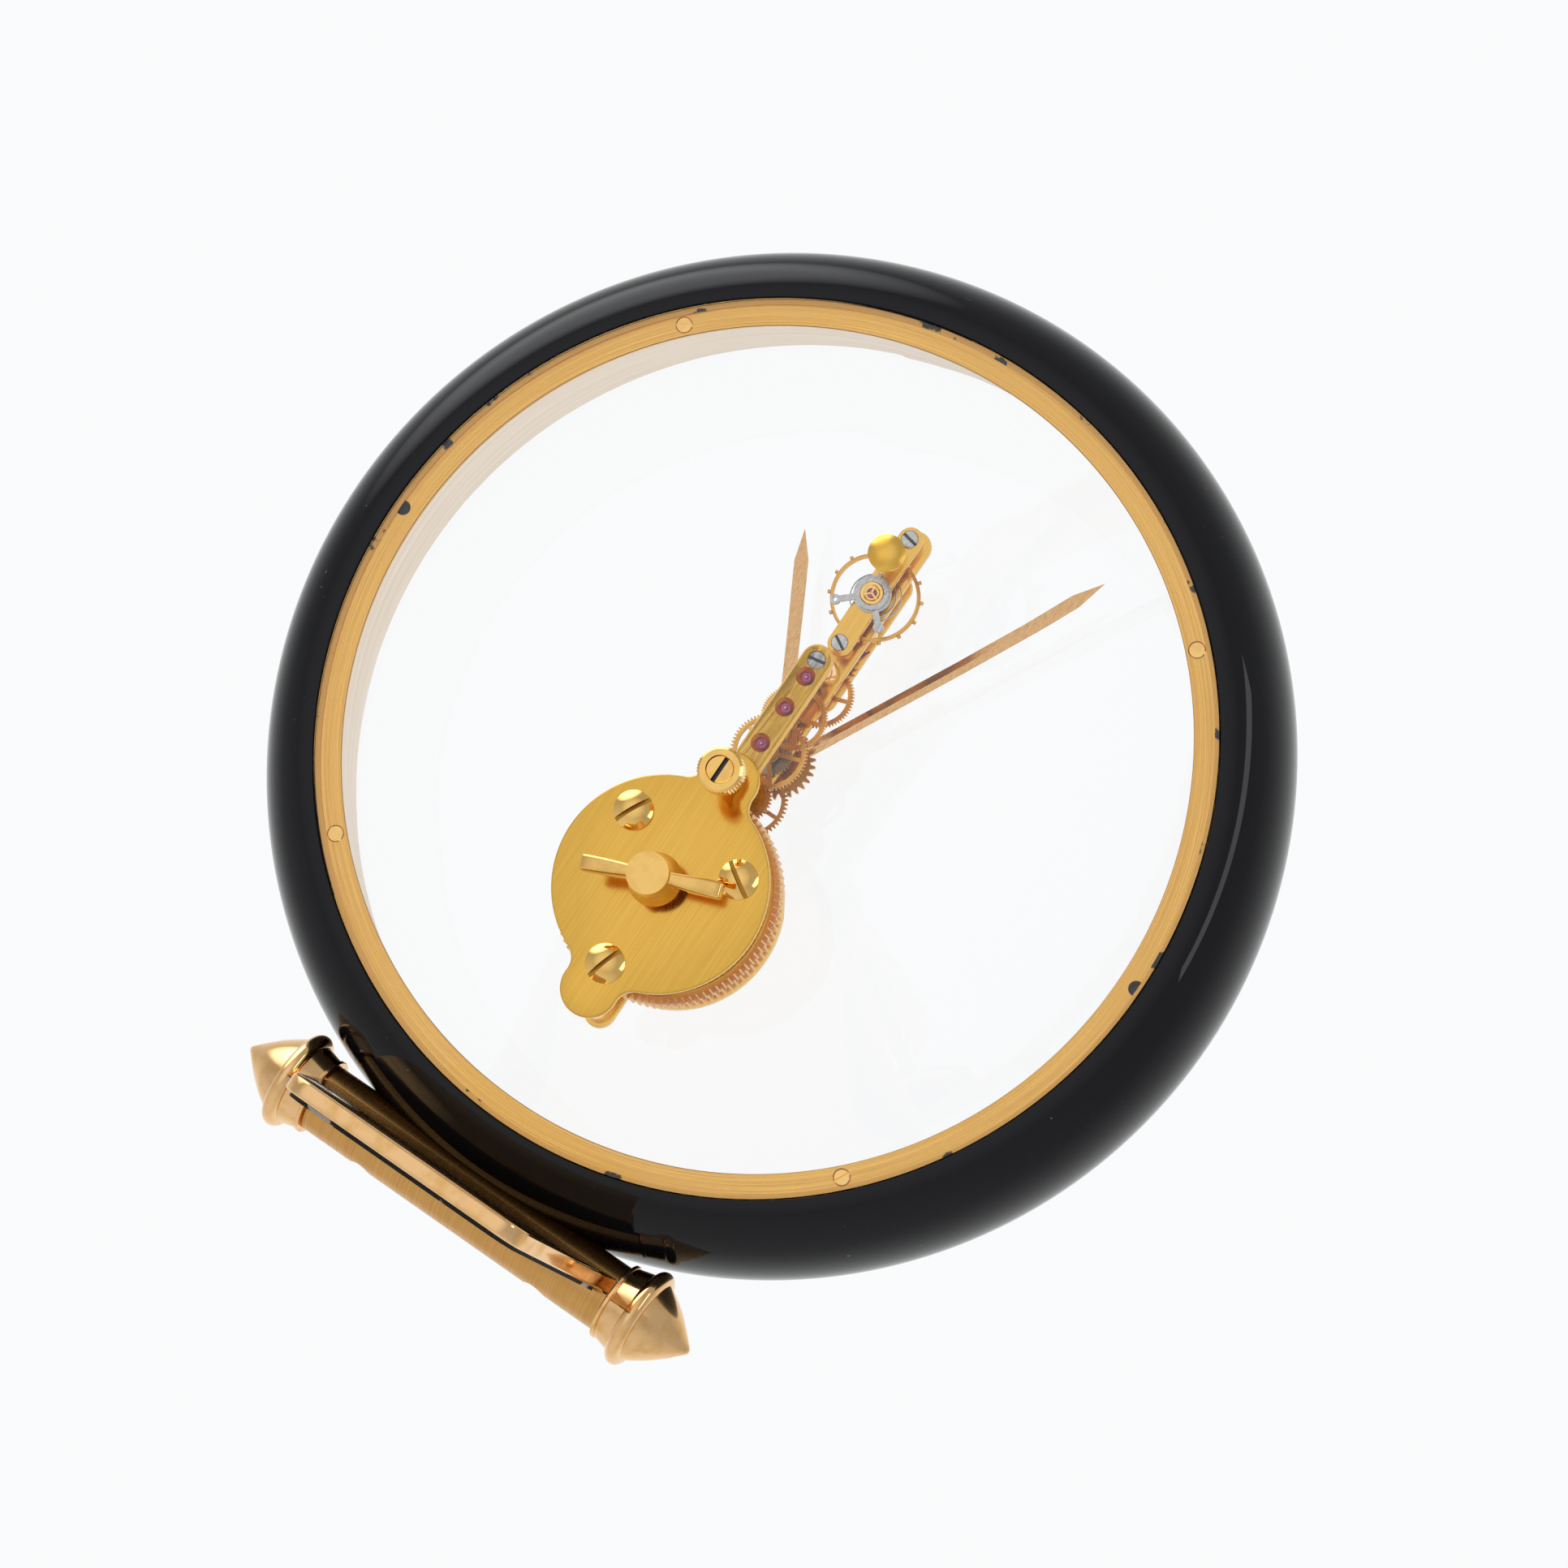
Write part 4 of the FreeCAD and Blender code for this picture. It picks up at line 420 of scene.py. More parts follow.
def mapped(tree, value, low, high, fromLow=0.3, fromHigh=0.7):
    reach = tree.nodes.new("ShaderNodeMapRange")
    for label, number in (("From Min", fromLow), ("From Max", fromHigh), ("To Min", low), ("To Max", high)):
        reach.inputs[label].default_value = number
    tree.links.new(value, reach.inputs["Value"])
    return reach.outputs["Result"]


def bump(tree, shader, height, strength, distance=0.00003):
    node = tree.nodes.new("ShaderNodeBump")
    node.inputs["Strength"].default_value = strength
    node.inputs["Distance"].default_value = distance
    tree.links.new(height, node.inputs["Height"])
    tree.links.new(node.outputs["Normal"], shader.inputs["Normal"])


def tinted(tree, shader, mask, first, second):
    tree.links.new(blendColors(tree, mask, first, second), shader.inputs["Base Color"])


def grainedMetal(name, tones, kind, roughLow, roughHigh, x=0.0, z=0.0, strength=0.25, **values):
    look, tree, shader = newMaterial(name, tones[1], 1.0, roughLow)
    mark = placeGroup(tree, kind, uprightCoordinates(tree, x, z), **values)
    tinted(tree, shader, mapped(tree, mark, 0.0, 1.0), *tones)
    tree.links.new(mapped(tree, mark, roughHigh, roughLow), shader.inputs["Roughness"])
    bump(tree, shader, mark, strength)
    return look


def polishedMetal(name, color, roughness, worn):
    look, tree, shader = newMaterial(name, color, 1.0, roughness)
    mask = placeGroup(tree, "spots", uprightCoordinates(tree), Size=420.0, From=0.45, To=0.75)
    tinted(tree, shader, mask, color, worn)
    tree.links.new(mapped(tree, mask, roughness, roughness * 1.8 + 0.02, 0.0, 1.0), shader.inputs["Roughness"])
    return look


# pairs are a metal's dark and light tone; the slot and sink tones are darker colours that paint the shade in screw
# slots and jewel sinks
gold = {"flange": ((0.70, 0.36, 0.07), (0.90, 0.53, 0.13)), "plate": ((0.75, 0.42, 0.07), (0.88, 0.53, 0.11)),
        "pale": ((0.82, 0.64, 0.46), (0.96, 0.85, 0.70)), "rose": ((0.62, 0.29, 0.04), (0.90, 0.50, 0.11)),
        "brown": ((0.50, 0.24, 0.06), (0.74, 0.42, 0.14)), "hand": ((0.50, 0.27, 0.10), (0.84, 0.52, 0.24)),
        "polished": (0.92, 0.58, 0.18), "worn": (0.80, 0.47, 0.14), "sink": (0.56, 0.22, 0.02),
        "slot": (0.42, 0.20, 0.03), "finial": (0.88, 0.55, 0.26)}
steel = {"grain": ((0.34, 0.34, 0.35), (0.66, 0.65, 0.64)), "blue": (0.30, 0.31, 0.36), "slot": (0.07, 0.065, 0.06)}
shades = {"lacquer": (0.004, 0.004, 0.005), "dust": (0.10, 0.10, 0.11), "cement": (0.012, 0.011, 0.01),
          "ruby": (0.42, 0.02, 0.17), "rubyDark": (0.30, 0.01, 0.13), "rubyLight": (0.62, 0.05, 0.27),
          "felt": (0.02, 0.02, 0.022), "feltDark": (0.016, 0.016, 0.018), "feltWorn": (0.42, 0.41, 0.40)}

flangeGold = grainedMetal("flangeGold", gold["flange"], "turned", 0.2, 0.42, Rings=7000.0, Streak=2.0)
bandGold = grainedMetal("bandGold", gold["pale"], "turned", 0.28, 0.45, Rings=2500.0, Streak=1.5, strength=0.12)
plateGold = grainedMetal("plateGold", gold["plate"], "line", 0.13, 0.22, Across=9000.0, Along=90.0, strength=0.05)
barGold = grainedMetal("barGold", gold["plate"], "line", 0.16, 0.3, Across=9000.0, Along=160.0, strength=0.12)
polishedGold = polishedMetal("polishedGold", gold["polished"], 0.06, gold["worn"])
# dark colours for the floors and walls of screw slots: painted shade
slotShadeGold = polishedMetal("slotShadeGold", gold["slot"], 0.3, gold["slot"])
slotShadeSteel = polishedMetal("slotShadeSteel", steel["slot"], 0.35, steel["slot"])
satinGold = polishedMetal("satinGold", gold["plate"][1], 0.22, gold["plate"][0])
finialGold = polishedMetal("finialGold", gold["finial"], 0.09, gold["brown"][1])
# the jewel sinks: a polished finish, with a darker, more orange colour that paints the shade in the hollow
shadedSinkGold = polishedMetal("shadedSinkGold", gold["sink"], 0.08, gold["rose"][0])
handGold = grainedMetal("handGold", gold["hand"], "line", 0.1, 0.24, Across=9000.0, Along=600.0, strength=0.06)
steelGrain = grainedMetal("steelGrain", steel["grain"], "line", 0.2, 0.36, Across=9000.0, Along=900.0, strength=0.15)
blueSteel = polishedMetal("blueSteel", steel["blue"], 0.18, steel["grain"][0])


def wheelGold(name, z):
    return grainedMetal(name, gold["rose"], "turned", 0.22, 0.38, 0.0, z, Rings=5000.0, Streak=1.0, strength=0.15)


# brushing runs round the rod
rodGold, tree, shader = newMaterial("rodGold", gold["brown"][1], 1.0, 0.25)
turnedAcross = tree.nodes.new("ShaderNodeMapping")
turnedAcross.inputs["Rotation"].default_value = (0, math.pi / 2, 0)
tree.links.new(uprightCoordinates(tree), turnedAcross.inputs["Vector"])
mark = placeGroup(tree, "line", turnedAcross.outputs["Vector"], Across=60.0, Along=15000.0)
tinted(tree, shader, mapped(tree, mark, 0.0, 1.0), *gold["brown"])
tree.links.new(mapped(tree, mark, 0.36, 0.2), shader.inputs["Roughness"])
bump(tree, shader, mark, 0.2)

lacquer, tree, shader = newMaterial("lacquer", shades["lacquer"], 0.0, 0.03, Specular_IOR_Level=0.22)
place = uprightCoordinates(tree)
dust = placeGroup(tree, "spots", place, Size=900.0, From=0.74, To=0.78)
tinted(tree, shader, dust, shades["lacquer"], shades["dust"])
bump(tree, shader, noiseNode(tree, place, 55.0, 1.0), 0.03, 0.0004)

crystal, tree, shader = newMaterial("crystal", (1, 1, 1), 0.0, 0.0, Transmission_Weight=1.0, IOR=1.42)
path = tree.nodes.new("ShaderNodeLightPath")
shade = times(tree, path.outputs["Is Shadow Ray"], 0.94)
tree.links.new(mathNode(tree, "SUBTRACT", 1.0, shade), shader.inputs["Alpha"])

# cemented seal: the flange's gold shows through, with chips of black cement
seal, tree, shader = newMaterial("seal", gold["flange"][0], 0.7, 0.4)
mask = placeGroup(tree, "spots", uprightCoordinates(tree, 0, 18), Size=190.0, From=0.62, To=0.64)
tinted(tree, shader, mask, gold["flange"][0], shades["cement"])

ruby, tree, shader = newMaterial("ruby", shades["ruby"], 0.0, 0.06, Coat_Weight=1.0, Subsurface_Weight=0.25,
                                 Subsurface_Scale=0.0006)
mask = placeGroup(tree, "spots", uprightCoordinates(tree), Size=1500.0, From=0.35, To=0.7)
tinted(tree, shader, mask, shades["rubyDark"], shades["rubyLight"])

felt, tree, shader = newMaterial("felt", shades["felt"], 0.0, 0.95)
place = uprightCoordinates(tree)
mask = placeGroup(tree, "spots", place, Size=240.0, From=0.58, To=0.62)
tinted(tree, shader, mask, shades["feltDark"], shades["feltWorn"])
bump(tree, shader, noiseNode(tree, place, 2500.0, 3.0), 0.6, 0.0002)
print("materials made")


# Ring, band, flange and crystals

ring = {"outer": 75.0, "halfDepth": 14.2, "lip": 65.35, "seat": 65.05, "bore": 62.62, "curveSteps": 22,
        "around": 224, "flangeBack": -1.2, "seatEdge": 0.08}
curve = [(ring["lip"] + (ring["outer"] - ring["lip"]) * math.cos(math.pi / 2 * step / ring["curveSteps"]),
          levels["ringMiddle"] + ring["halfDepth"] * math.sin(math.pi / 2 * step / ring["curveSteps"]))
         for step in range(ring["curveSteps"] + 1)]
profile = curve + [(ring["seat"] + ring["seatEdge"], levels["lip"]),
                   (ring["seat"], levels["lip"] - ring["seatEdge"]),
                   (ring["seat"], ring["flangeBack"]), (ring["bore"], ring["flangeBack"]),
                   (ring["bore"], levels["ringMiddle"]), curve[0]]
ringRear = turned(profile, steps=ring["around"])
ringFront = toFront(copied(ringRear))
finished(ringRear, "ringRear", "case", "lacquer", lacquer, "ring_shell_rear", angle=50)
finished(ringFront, "ringFront", "case", "lacquer", lacquer, "ring_shell_front", angle=50)

band = {"inner": 61.0, "outer": 62.6, "flange": 65.0, "thickness": 1.2, "edge": 0.15}
front = levels["frontFlange"]
bandPiece = turned([
    (band["inner"], -band["thickness"]), (band["outer"], -band["thickness"]),
    (band["outer"], front + band["thickness"]), (band["flange"], front + band["thickness"]),
    (band["flange"], front), (band["inner"] + band["edge"], front), (band["inner"], front + band["edge"]),
    (band["inner"], -band["thickness"])], steps=ring["around"])
finished(bandPiece, "innerBand", "case", "gold_pale", bandGold, "inner_band")

flange = {"screwRing": 62.7, "screwHead": 1.2, "headHeight": 0.5, "headGap": 0.06, "headRise": 0.02, "headEdge": 0.12,
          "holeRing": 63.75, "hole": 1.1, "edge": 0.12, "start": 0.37, "slotWidth": 0.42, "slotDepth": 0.3,
          "screwTurns": (45, 135, 225, 315), "slotTurns": (30, -20, 64, 12)}
flangePiece = turned([
    (band["inner"], -band["thickness"]), (band["inner"], -flange["edge"]), (band["inner"] + flange["edge"], 0),
    (band["flange"] - flange["edge"], 0), (band["flange"], -flange["edge"]), (band["flange"], -band["thickness"]),
    (band["inner"], -band["thickness"])], steps=ring["around"])
rotated(flangePiece, flange["start"])
screwPlaces = [arc(0, 0, flange["screwRing"], turn, turn, 1)[0] for turn in flange["screwTurns"]]
for x, z in screwPlaces:
    cut(flangePiece, post(flange["screwHead"] + flange["headGap"], past, -flange["headHeight"], x, z))
for side in (-1, 1):
    cut(flangePiece, post(flange["hole"], past, -band["thickness"] - past, side * flange["holeRing"], 0, 32))
finished(flangePiece, "rearFlange", "case", "gold_satin", flangeGold, "rear_flange")

flangeScrews = []
radius, top = flange["screwHead"], flange["headRise"]
for (x, z), turn in zip(screwPlaces, flange["slotTurns"]):
    head = turned([(0, top), (radius - flange["headEdge"], top), (radius, top - flange["headEdge"]),
                   (radius, -flange["headHeight"]), (0, -flange["headHeight"])], x, z, 32)
    flangeScrews.append(cut(head, slotBar(radius, top, flange["slotDepth"], flange["slotWidth"], turn, x, z)))
finished(joined(*flangeScrews), "flangeScrews", "case", "gold_satin", polishedGold, "flange_screws")

glass = {"radius": 64.9, "edge": 0.15, "winding": 1.9, "setting": 1.2, "button": 1.32, "screw": 1.02}
plateScrews = {"places": ((-9.15, -18.1), (9.15, -18.1), (0.0, -38.3)), "head": 2.88, "rim": 0.35, "dome": 0.95,
               "shank": 1.0, "slotWidth": 0.66, "slotDepth": 0.95, "turns": (-33, 63, 72), "seat": 3.4,
               "end": -0.8, "dark": (0.01, 0.15)}


def disc():
    return bevelled(post(glass["radius"], levels["lip"], levels["glassFront"], sides=ring["around"]), glass["edge"])


rearGlass = disc()
frontGlass = toFront(copied(rearGlass))
holes = [(glass["winding"], 0, axes["barrel"]), (glass["setting"], 0, axes["set"]),
         (glass["button"], 0, axes["button"])]
holes += [(glass["screw"], x, z) for x, z in plateScrews["places"]]
for radius, x, z in holes:
    cut(rearGlass, post(radius, 3, 0, x, z, 32))
finished(rearGlass, "rearCrystal", "case", "crystal", crystal, "rear_crystal")
finished(frontGlass, "frontCrystal", "case", "crystal", crystal, "front_crystal")

sealRing = {"outer": 64.9, "inner": 64.1, "rear": levels["glassFront"] - 0.01}
rearSeal = turned(ringProfile(sealRing["outer"], sealRing["inner"], sealRing["rear"], 0), steps=160)
frontSeal = toFront(copied(rearSeal))
finished(rearSeal, "rearSeal", "case", "seal", seal, "rear_seal")
finished(frontSeal, "frontSeal", "case", "seal", seal, "front_seal")
print("ring and crystals made")


# Base

base = {"radius": 5.15, "half": 26.0, "y": -7.0, "z": -76.8, "edge": 0.25, "saddleGap": 0.05, "pocketFront": -3.5,
        "screwX": 15.5, "screwHead": 1.9, "screwRecess": 2.2, "headGap": 0.05, "pocketGap": 0.02,
        "saddleFront": -26.5, "reach": 30.0}
foot = {"front": -3.5, "rear": 36.3, "frontHalf": 25.6, "rearHalf": 19.3, "top": -74.0, "thickness": 2.5,
        "corner": 3.5, "edge": 0.4, "feltInset": 1.0, "feltFront": 0.15, "feltThickness": 0.6,
        "near": 0.01}


def laid(piece, degrees, axis, x, y, z):
    piece.data.transform(Matrix.Translation((x, y, z)) @ Matrix.Rotation(math.radians(degrees), 4, axis))
    return piece


def laidAlongX(piece, x):
    return laid(piece, -90, "Z", x, base["y"], base["z"])


half, radius, edge = base["half"], base["radius"], base["edge"]
rod = laidAlongX(turned([(0, -half), (radius - edge, -half), (radius, -half + edge), (radius, half - edge),
                         (radius - edge, half), (0, half)], steps=96), 0)
seatCurve = [(radius + base["saddleGap"], 2 * levels["ringMiddle"] - y) for radius, y in reversed(curve)]
seatCurve += [(radius + base["saddleGap"], y) for radius, y in curve[1:]]
cut(rod, turned([(0, base["saddleFront"])] + seatCurve + [(0, levels["lip"])], steps=ring["around"]))
low, gap = foot["top"] - foot["thickness"], base["pocketGap"]
cut(rod, block((-base["reach"], base["pocketFront"] - gap, low - gap), (base["reach"], 3, foot["top"] + gap)))
for side in (-1, 1):
    recess = post(base["screwHead"] + base["headGap"], 0, -6)
    cut(rod, laid(recess, 90, "X", side * base["screwX"], base["y"], base["z"] - radius + base["screwRecess"]))
finished(rod, "baseRod", "case", "gold_brown", rodGold, "base_rod")

footScrew = {"rise": 0.8, "edge": 0.2, "edgeDepth": 0.15, "height": 1.4, "shank": 1.1, "length": 6.5,
             "slotWidth": 0.5, "slotDepth": 0.7}
baseScrews = []
radius, low = base["screwHead"], base["z"] - base["radius"] + footScrew["rise"]
for side in (-1, 1):
    head = turned([(0, 0), (radius - footScrew["edge"], 0), (radius, -footScrew["edgeDepth"]),
                   (radius, -footScrew["height"]), (footScrew["shank"], -footScrew["height"]),
                   (footScrew["shank"], -footScrew["length"]), (0, -footScrew["length"])], steps=32)
    cut(head, slotBar(radius, 0, footScrew["slotDepth"], footScrew["slotWidth"], 0))
    baseScrews.append(laid(head, -90, "X", side * base["screwX"], base["y"], low))
finished(joined(*baseScrews), "baseScrews", "case", "steel", steelGrain, "base_screws")

finial = {"collar": 5.7, "lip": 5.95, "lipWidth": 0.6, "lipEdge": 0.1, "collarLength": 3.3, "bead": 7.6,
          "beadTube": 1.2, "cone": 7.35, "coneInset": 0.15, "tip": 0.9, "bulge": 0.45, "coneSteps": 10,
          "beadSteps": 14, "cheek": (0.8, 0.45), "point": (0.4, 0.08)}


def finialProfile():
    lip, width, edge, tube, tip = (finial[name] for name in ("lip", "lipWidth", "lipEdge", "beadTube", "tip"))
    points = [(0, 0), (lip - edge, 0), (lip, edge), (lip, width - edge), (lip - edge, width),
              (finial["collar"], width + edge / 2)]
    middle = finial["collarLength"] + tube
    core = finial["bead"] - tube
    for step in range(finial["beadSteps"] + 1):
        turn = math.pi * step / finial["beadSteps"]
        points.append((max(core + tube * math.sin(turn), finial["collar"]), middle - tube * math.cos(turn)))
    start, end = middle + tube, middle + tube + finial["cone"]
    wide, narrow, reach = core - finial["coneInset"], tip * finial["cheek"][0], end - tip * finial["cheek"][1]
    for step in range(finial["coneSteps"] + 1):
        share = step / finial["coneSteps"]
        radius = wide + (narrow - wide) * share + finial["bulge"] * math.sin(math.pi * share)
        points.append((radius, start + (reach - start) * share))
    return points + [(tip * finial["point"][0], end - finial["point"][1]), (0, end)]


finialRight = laidAlongX(turned(finialProfile(), steps=96), base["half"])
finialLeft = mirroredAcross(copied(finialRight), Matrix.Scale(-1, 4, (1, 0, 0)))
finished(finialRight, "finialRight", "case", "gold_satin", finialGold, "finial_right")
finished(finialLeft, "finialLeft", "case", "gold_satin", finialGold, "finial_left")


def taperedSlab(frontY, rearY, inset, low, high):
    # a cube whose rear side is drawn in, with its two upright rear edges rounded
    slope = (foot["rearHalf"] - foot["frontHalf"]) / (foot["rear"] - foot["front"])
    frontHalf = foot["frontHalf"] + slope * (frontY - foot["front"]) - inset
    rearHalf = foot["frontHalf"] + slope * (rearY - foot["front"]) - inset
    slab = block((-frontHalf, frontY, low), (frontHalf, rearY, high))
    chosen(slab, lambda vertex: vertex.co.y > rearY - foot["near"])
    bpy.ops.transform.resize(value=(rearHalf / frontHalf, 1, 1), center_override=(0, rearY, low))
    bpy.ops.mesh.select_mode(type="EDGE")
    bpy.ops.mesh.select_all(action="DESELECT")
    editDone()
    for edge in slab.data.edges:
        ends = [slab.data.vertices[index].co for index in edge.vertices]
        upright = abs(ends[0].x - ends[1].x) < foot["near"]
        edge.select = upright and all(end.y > rearY - foot["near"] for end in ends)
    bpy.ops.object.mode_set(mode="EDIT")
    bpy.ops.mesh.bevel(offset=foot["corner"], segments=12, affect="EDGES")
    bpy.ops.mesh.select_mode(type="VERT")
    editDone()
    return slab


footPlate = taperedSlab(foot["front"], foot["rear"], 0, foot["top"] - foot["thickness"], foot["top"])
bevelled(footPlate, foot["edge"], 3)
finished(footPlate, "footPlate", "case", "gold_brown", finialGold, "foot_plate")
feltPiece = taperedSlab(foot["feltFront"], foot["rear"] - foot["feltInset"], foot["feltInset"],
                        foot["top"] - foot["thickness"] - foot["feltThickness"], foot["top"] - foot["thickness"])
finished(feltPiece, "footFelt", "case", "felt", felt, "foot_felt")
print("base made")


# Fixed plates of the movement

outerPlate = {"radius": 15.7, "topRadius": 4.2, "lowRadius": 4.3, "lowZ": -42.3, "hollow": 2.75, "rear": 3.4,
              "front": 2.1, "edge": 0.32, "windingHole": 1.55, "settingHole": 0.72}


def hollowBeside(z, radius):
    # the centre of the hollow beside a lobe, and the angles at which it meets the disc and the lobe
    reach, other = outerPlate["radius"] + outerPlate["hollow"], radius + outerPlate["hollow"]
    gap = abs(z - axes["barrel"])
    lift = (reach ** 2 + gap ** 2 - other ** 2) / (2 * gap)
    across, up = math.sqrt(reach ** 2 - lift ** 2), axes["barrel"] + math.copysign(lift, z - axes["barrel"])
    return across, up, *(math.degrees(math.atan2(across, up - middle)) for middle in (axes["barrel"], z))


def outerOutline():
    # the right half from the top lobe down to the low one, then the same half mirrored back up
    hollow = outerPlate["hollow"]
    across, up, topDisc, topLobe = hollowBeside(axes["set"], outerPlate["topRadius"])
    right = arc(0, axes["set"], outerPlate["topRadius"], 0, topLobe, 20)
    right += arc(across, up, hollow, topLobe + 180, topDisc + 180, 12)[1:]
    across, up, lowDisc, lowLobe = hollowBeside(outerPlate["lowZ"], outerPlate["lowRadius"])
    right += arc(0, axes["barrel"], outerPlate["radius"], topDisc, lowDisc, 48)[1:]
    right += arc(across, up, hollow, lowDisc + 180, lowLobe + 180, 12)[1:]
    right += arc(0, outerPlate["lowZ"], outerPlate["lowRadius"], lowLobe, 180, 20)[1:]
    return right + [(-x, z) for x, z in reversed(right[1:-1])]


plate = plateFrom(outerOutline(), outerPlate["rear"], outerPlate["front"], outerPlate["edge"])
for hole, axis in (("windingHole", "barrel"), ("settingHole", "set")):
    cut(plate, post(outerPlate[hole], outerPlate["rear"] + 1.6, outerPlate["front"] - 1.1, 0, axes[axis]))
finished(plate, "outerPlate", "case", "plate_gold", plateGold, "outer_plate")


def domeProfile(radius, rim, dome, seat, steps=8):
    ball = (radius ** 2 + dome ** 2) / (2 * dome)
    half = math.asin(radius / ball)
    top = seat + rim + dome
    points = [(0, top)]
    for step in range(1, steps + 1):
        turn = half * step / steps
        points.append((ball * math.sin(turn), top - ball + ball * math.cos(turn)))
    return points + [(radius, seat)]


heads = []
radius, seat, end = plateScrews["head"], plateScrews["seat"], plateScrews["end"]
top = seat + plateScrews["rim"] + plateScrews["dome"]
# the slot's faces between low and high are painted darker, as shade in the slot
low, high = top - plateScrews["slotDepth"] - plateScrews["dark"][0], top - plateScrews["dark"][1]
screwProfile = domeProfile(radius, plateScrews["rim"], plateScrews["dome"], seat)
screwProfile += [(plateScrews["shank"], seat), (plateScrews["shank"], end), (0, end)]
for (x, z), turn in zip(plateScrews["places"], plateScrews["turns"]):
    head = turned(screwProfile, x, z, 64)
    cut(head, slotBar(radius, top, plateScrews["slotDepth"], plateScrews["slotWidth"], turn, x, z))
    secondLook(head, (polishedGold, slotShadeGold), slotFaces(radius, low, high, x, z))
    heads.append(head)
finished(joined(*heads), "plateScrews", "case", "gold_polished", [polishedGold, slotShadeGold], "plate_screws")

bars = {"rearHalf": 2.35, "rearDisc": 15.0, "mainHalf": 2.25, "mainDisc": 15.5, "edge": 0.28, "cockHalf": 1.82,
        "bridgeHalf": 2.2, "bridgeTop": 30.6, "bridgeEdge": 0.2, "fourthHole": 0.79, "balanceHole": 1.3,
        "screwBore": 1.36, "screwSink": 0.4}
depths = {"rearPlate": (0.6, -0.8), "mainPlate": (-9.5, -11.0), "cock": (-5.0, -6.2), "frontBridge": (-14.3, -15.3)}
sink = {"radius": 1.41, "mouth": 0.6, "depth": 0.66, "pocket": 1.18, "jewel": 0.78, "jewelGap": 0.02,
        "jewelThickness": 0.5, "pivot": 0.19, "cup": 0.18, "cupWidth": 0.25, "cupRim": 0.02, "round": 0.2,
        "roundDepth": 0.12, "lookReach": 0.02, "flat": 0.97}


def barPlate(half, high, low, rear, front, edge, disc=0.0):
    outline = arc(0, high, half, -90, 90, 28)
    if disc:
        meet = math.degrees(math.asin(half / disc))
        outline += arc(0, axes["barrel"], disc, meet, 180 - meet, 64)
    outline += arc(0, low, half, 90, 270, 28)
    if disc:
        outline += arc(0, axes["barrel"], disc, 180 + meet, 360 - meet, 64)
    return plateFrom(outline, rear, front, edge)


rear, front = depths["rearPlate"]
rearPlate = barPlate(bars["rearHalf"], axes["bridgeEnd"], axes["lug"], rear, front, bars["edge"], bars["rearDisc"])
jewelled = (axes["centre"], axes["third"], axes["fourth"])
bore = sink["jewel"] + sink["jewelGap"]
for z in jewelled:
    cut(rearPlate, turned([(0, rear + past), (sink["radius"] + sink["mouth"], rear + past), (sink["radius"], rear),
                           (bore, rear - sink["depth"]), (bore, rear - sink["pocket"]),
                           (0, rear - sink["pocket"])], 0, z, 40))
cut(rearPlate, post(bars["screwBore"], rear + past, rear - bars["screwSink"], 0, axes["bridgeEnd"]))


# the faces of the jewel sinks, which are painted darker, as shade in the hollow
def sinkFaces(centre, normal):
    near = any(math.hypot(centre.x, centre.z - z) < sink["radius"] + sink["lookReach"] for z in jewelled)
    return near and abs(normal.y) < sink["flat"]


secondLook(rearPlate, (barGold, shadedSinkGold), sinkFaces)
finished(rearPlate, "rearPlate", "case", "plate_gold", [barGold, shadedSinkGold], "rear_plate")

rear, front = depths["mainPlate"]
mainPlate = barPlate(bars["mainHalf"], axes["cockHigh"], axes["lug"], rear, front, bars["edge"], bars["mainDisc"])
for radius, z in ((bars["fourthHole"], axes["fourth"]), (bars["balanceHole"], axes["balance"])):
    cut(mainPlate, post(radius, rear + past, front - past, 0, z, 32))
finished(mainPlate, "mainPlate", "case", "plate_gold", barGold, "main_plate")

cock = barPlate(bars["cockHalf"], axes["cockHigh"], axes["cockLow"], *depths["cock"], bars["edge"])
finished(cock, "balanceCock", "case", "plate_gold", barGold, "balance_cock")
bridge = barPlate(bars["bridgeHalf"], bars["bridgeTop"], axes["fourth"], *depths["frontBridge"], bars["bridgeEdge"])
finished(bridge, "frontBridge", "case", "plate_gold", barGold, "front_bridge")

pillar = {"bridge": 1.9, "lug": 1.77, "cock": 1.15, "front": 0.65, "edge": 0.08,
          "frontPlaces": ((-1.4, 23.0), (1.4, 23.0), (0.0, bars["bridgeTop"]))}
back, middle = depths["rearPlate"][1], depths["mainPlate"][0]
posts = [post(pillar["bridge"], back, middle, 0, axes["bridgeEnd"], 48),
         post(pillar["lug"], back, middle, 0, axes["lug"], 48)]
posts += [post(pillar["cock"], depths["cock"][1], middle, 0, axes[end], 40) for end in ("cockLow", "cockHigh")]
posts += [post(pillar["front"], depths["mainPlate"][1], depths["frontBridge"][0], x, z, 32)
          for x, z in pillar["frontPlaces"]]
for each in posts:
    bevelled(each, pillar["edge"], 2)
finished(joined(*posts), "pillarPosts", "case", "gold_polished", polishedGold, "pillars")

# head radius, shank radius and length; the slot in shares of the head
steelScrew = {"height": 0.4, "edge": 0.12, "slotDepth": 0.8, "slotWidth": 0.34, "bridge": (1.33, 0.7, 2.0),
              "cock": (1.25, 0.68, 1.2), "front": (0.6, 0.33, 1.0), "turns": (9, -30, -12, 45),
              "dark": 0.02}


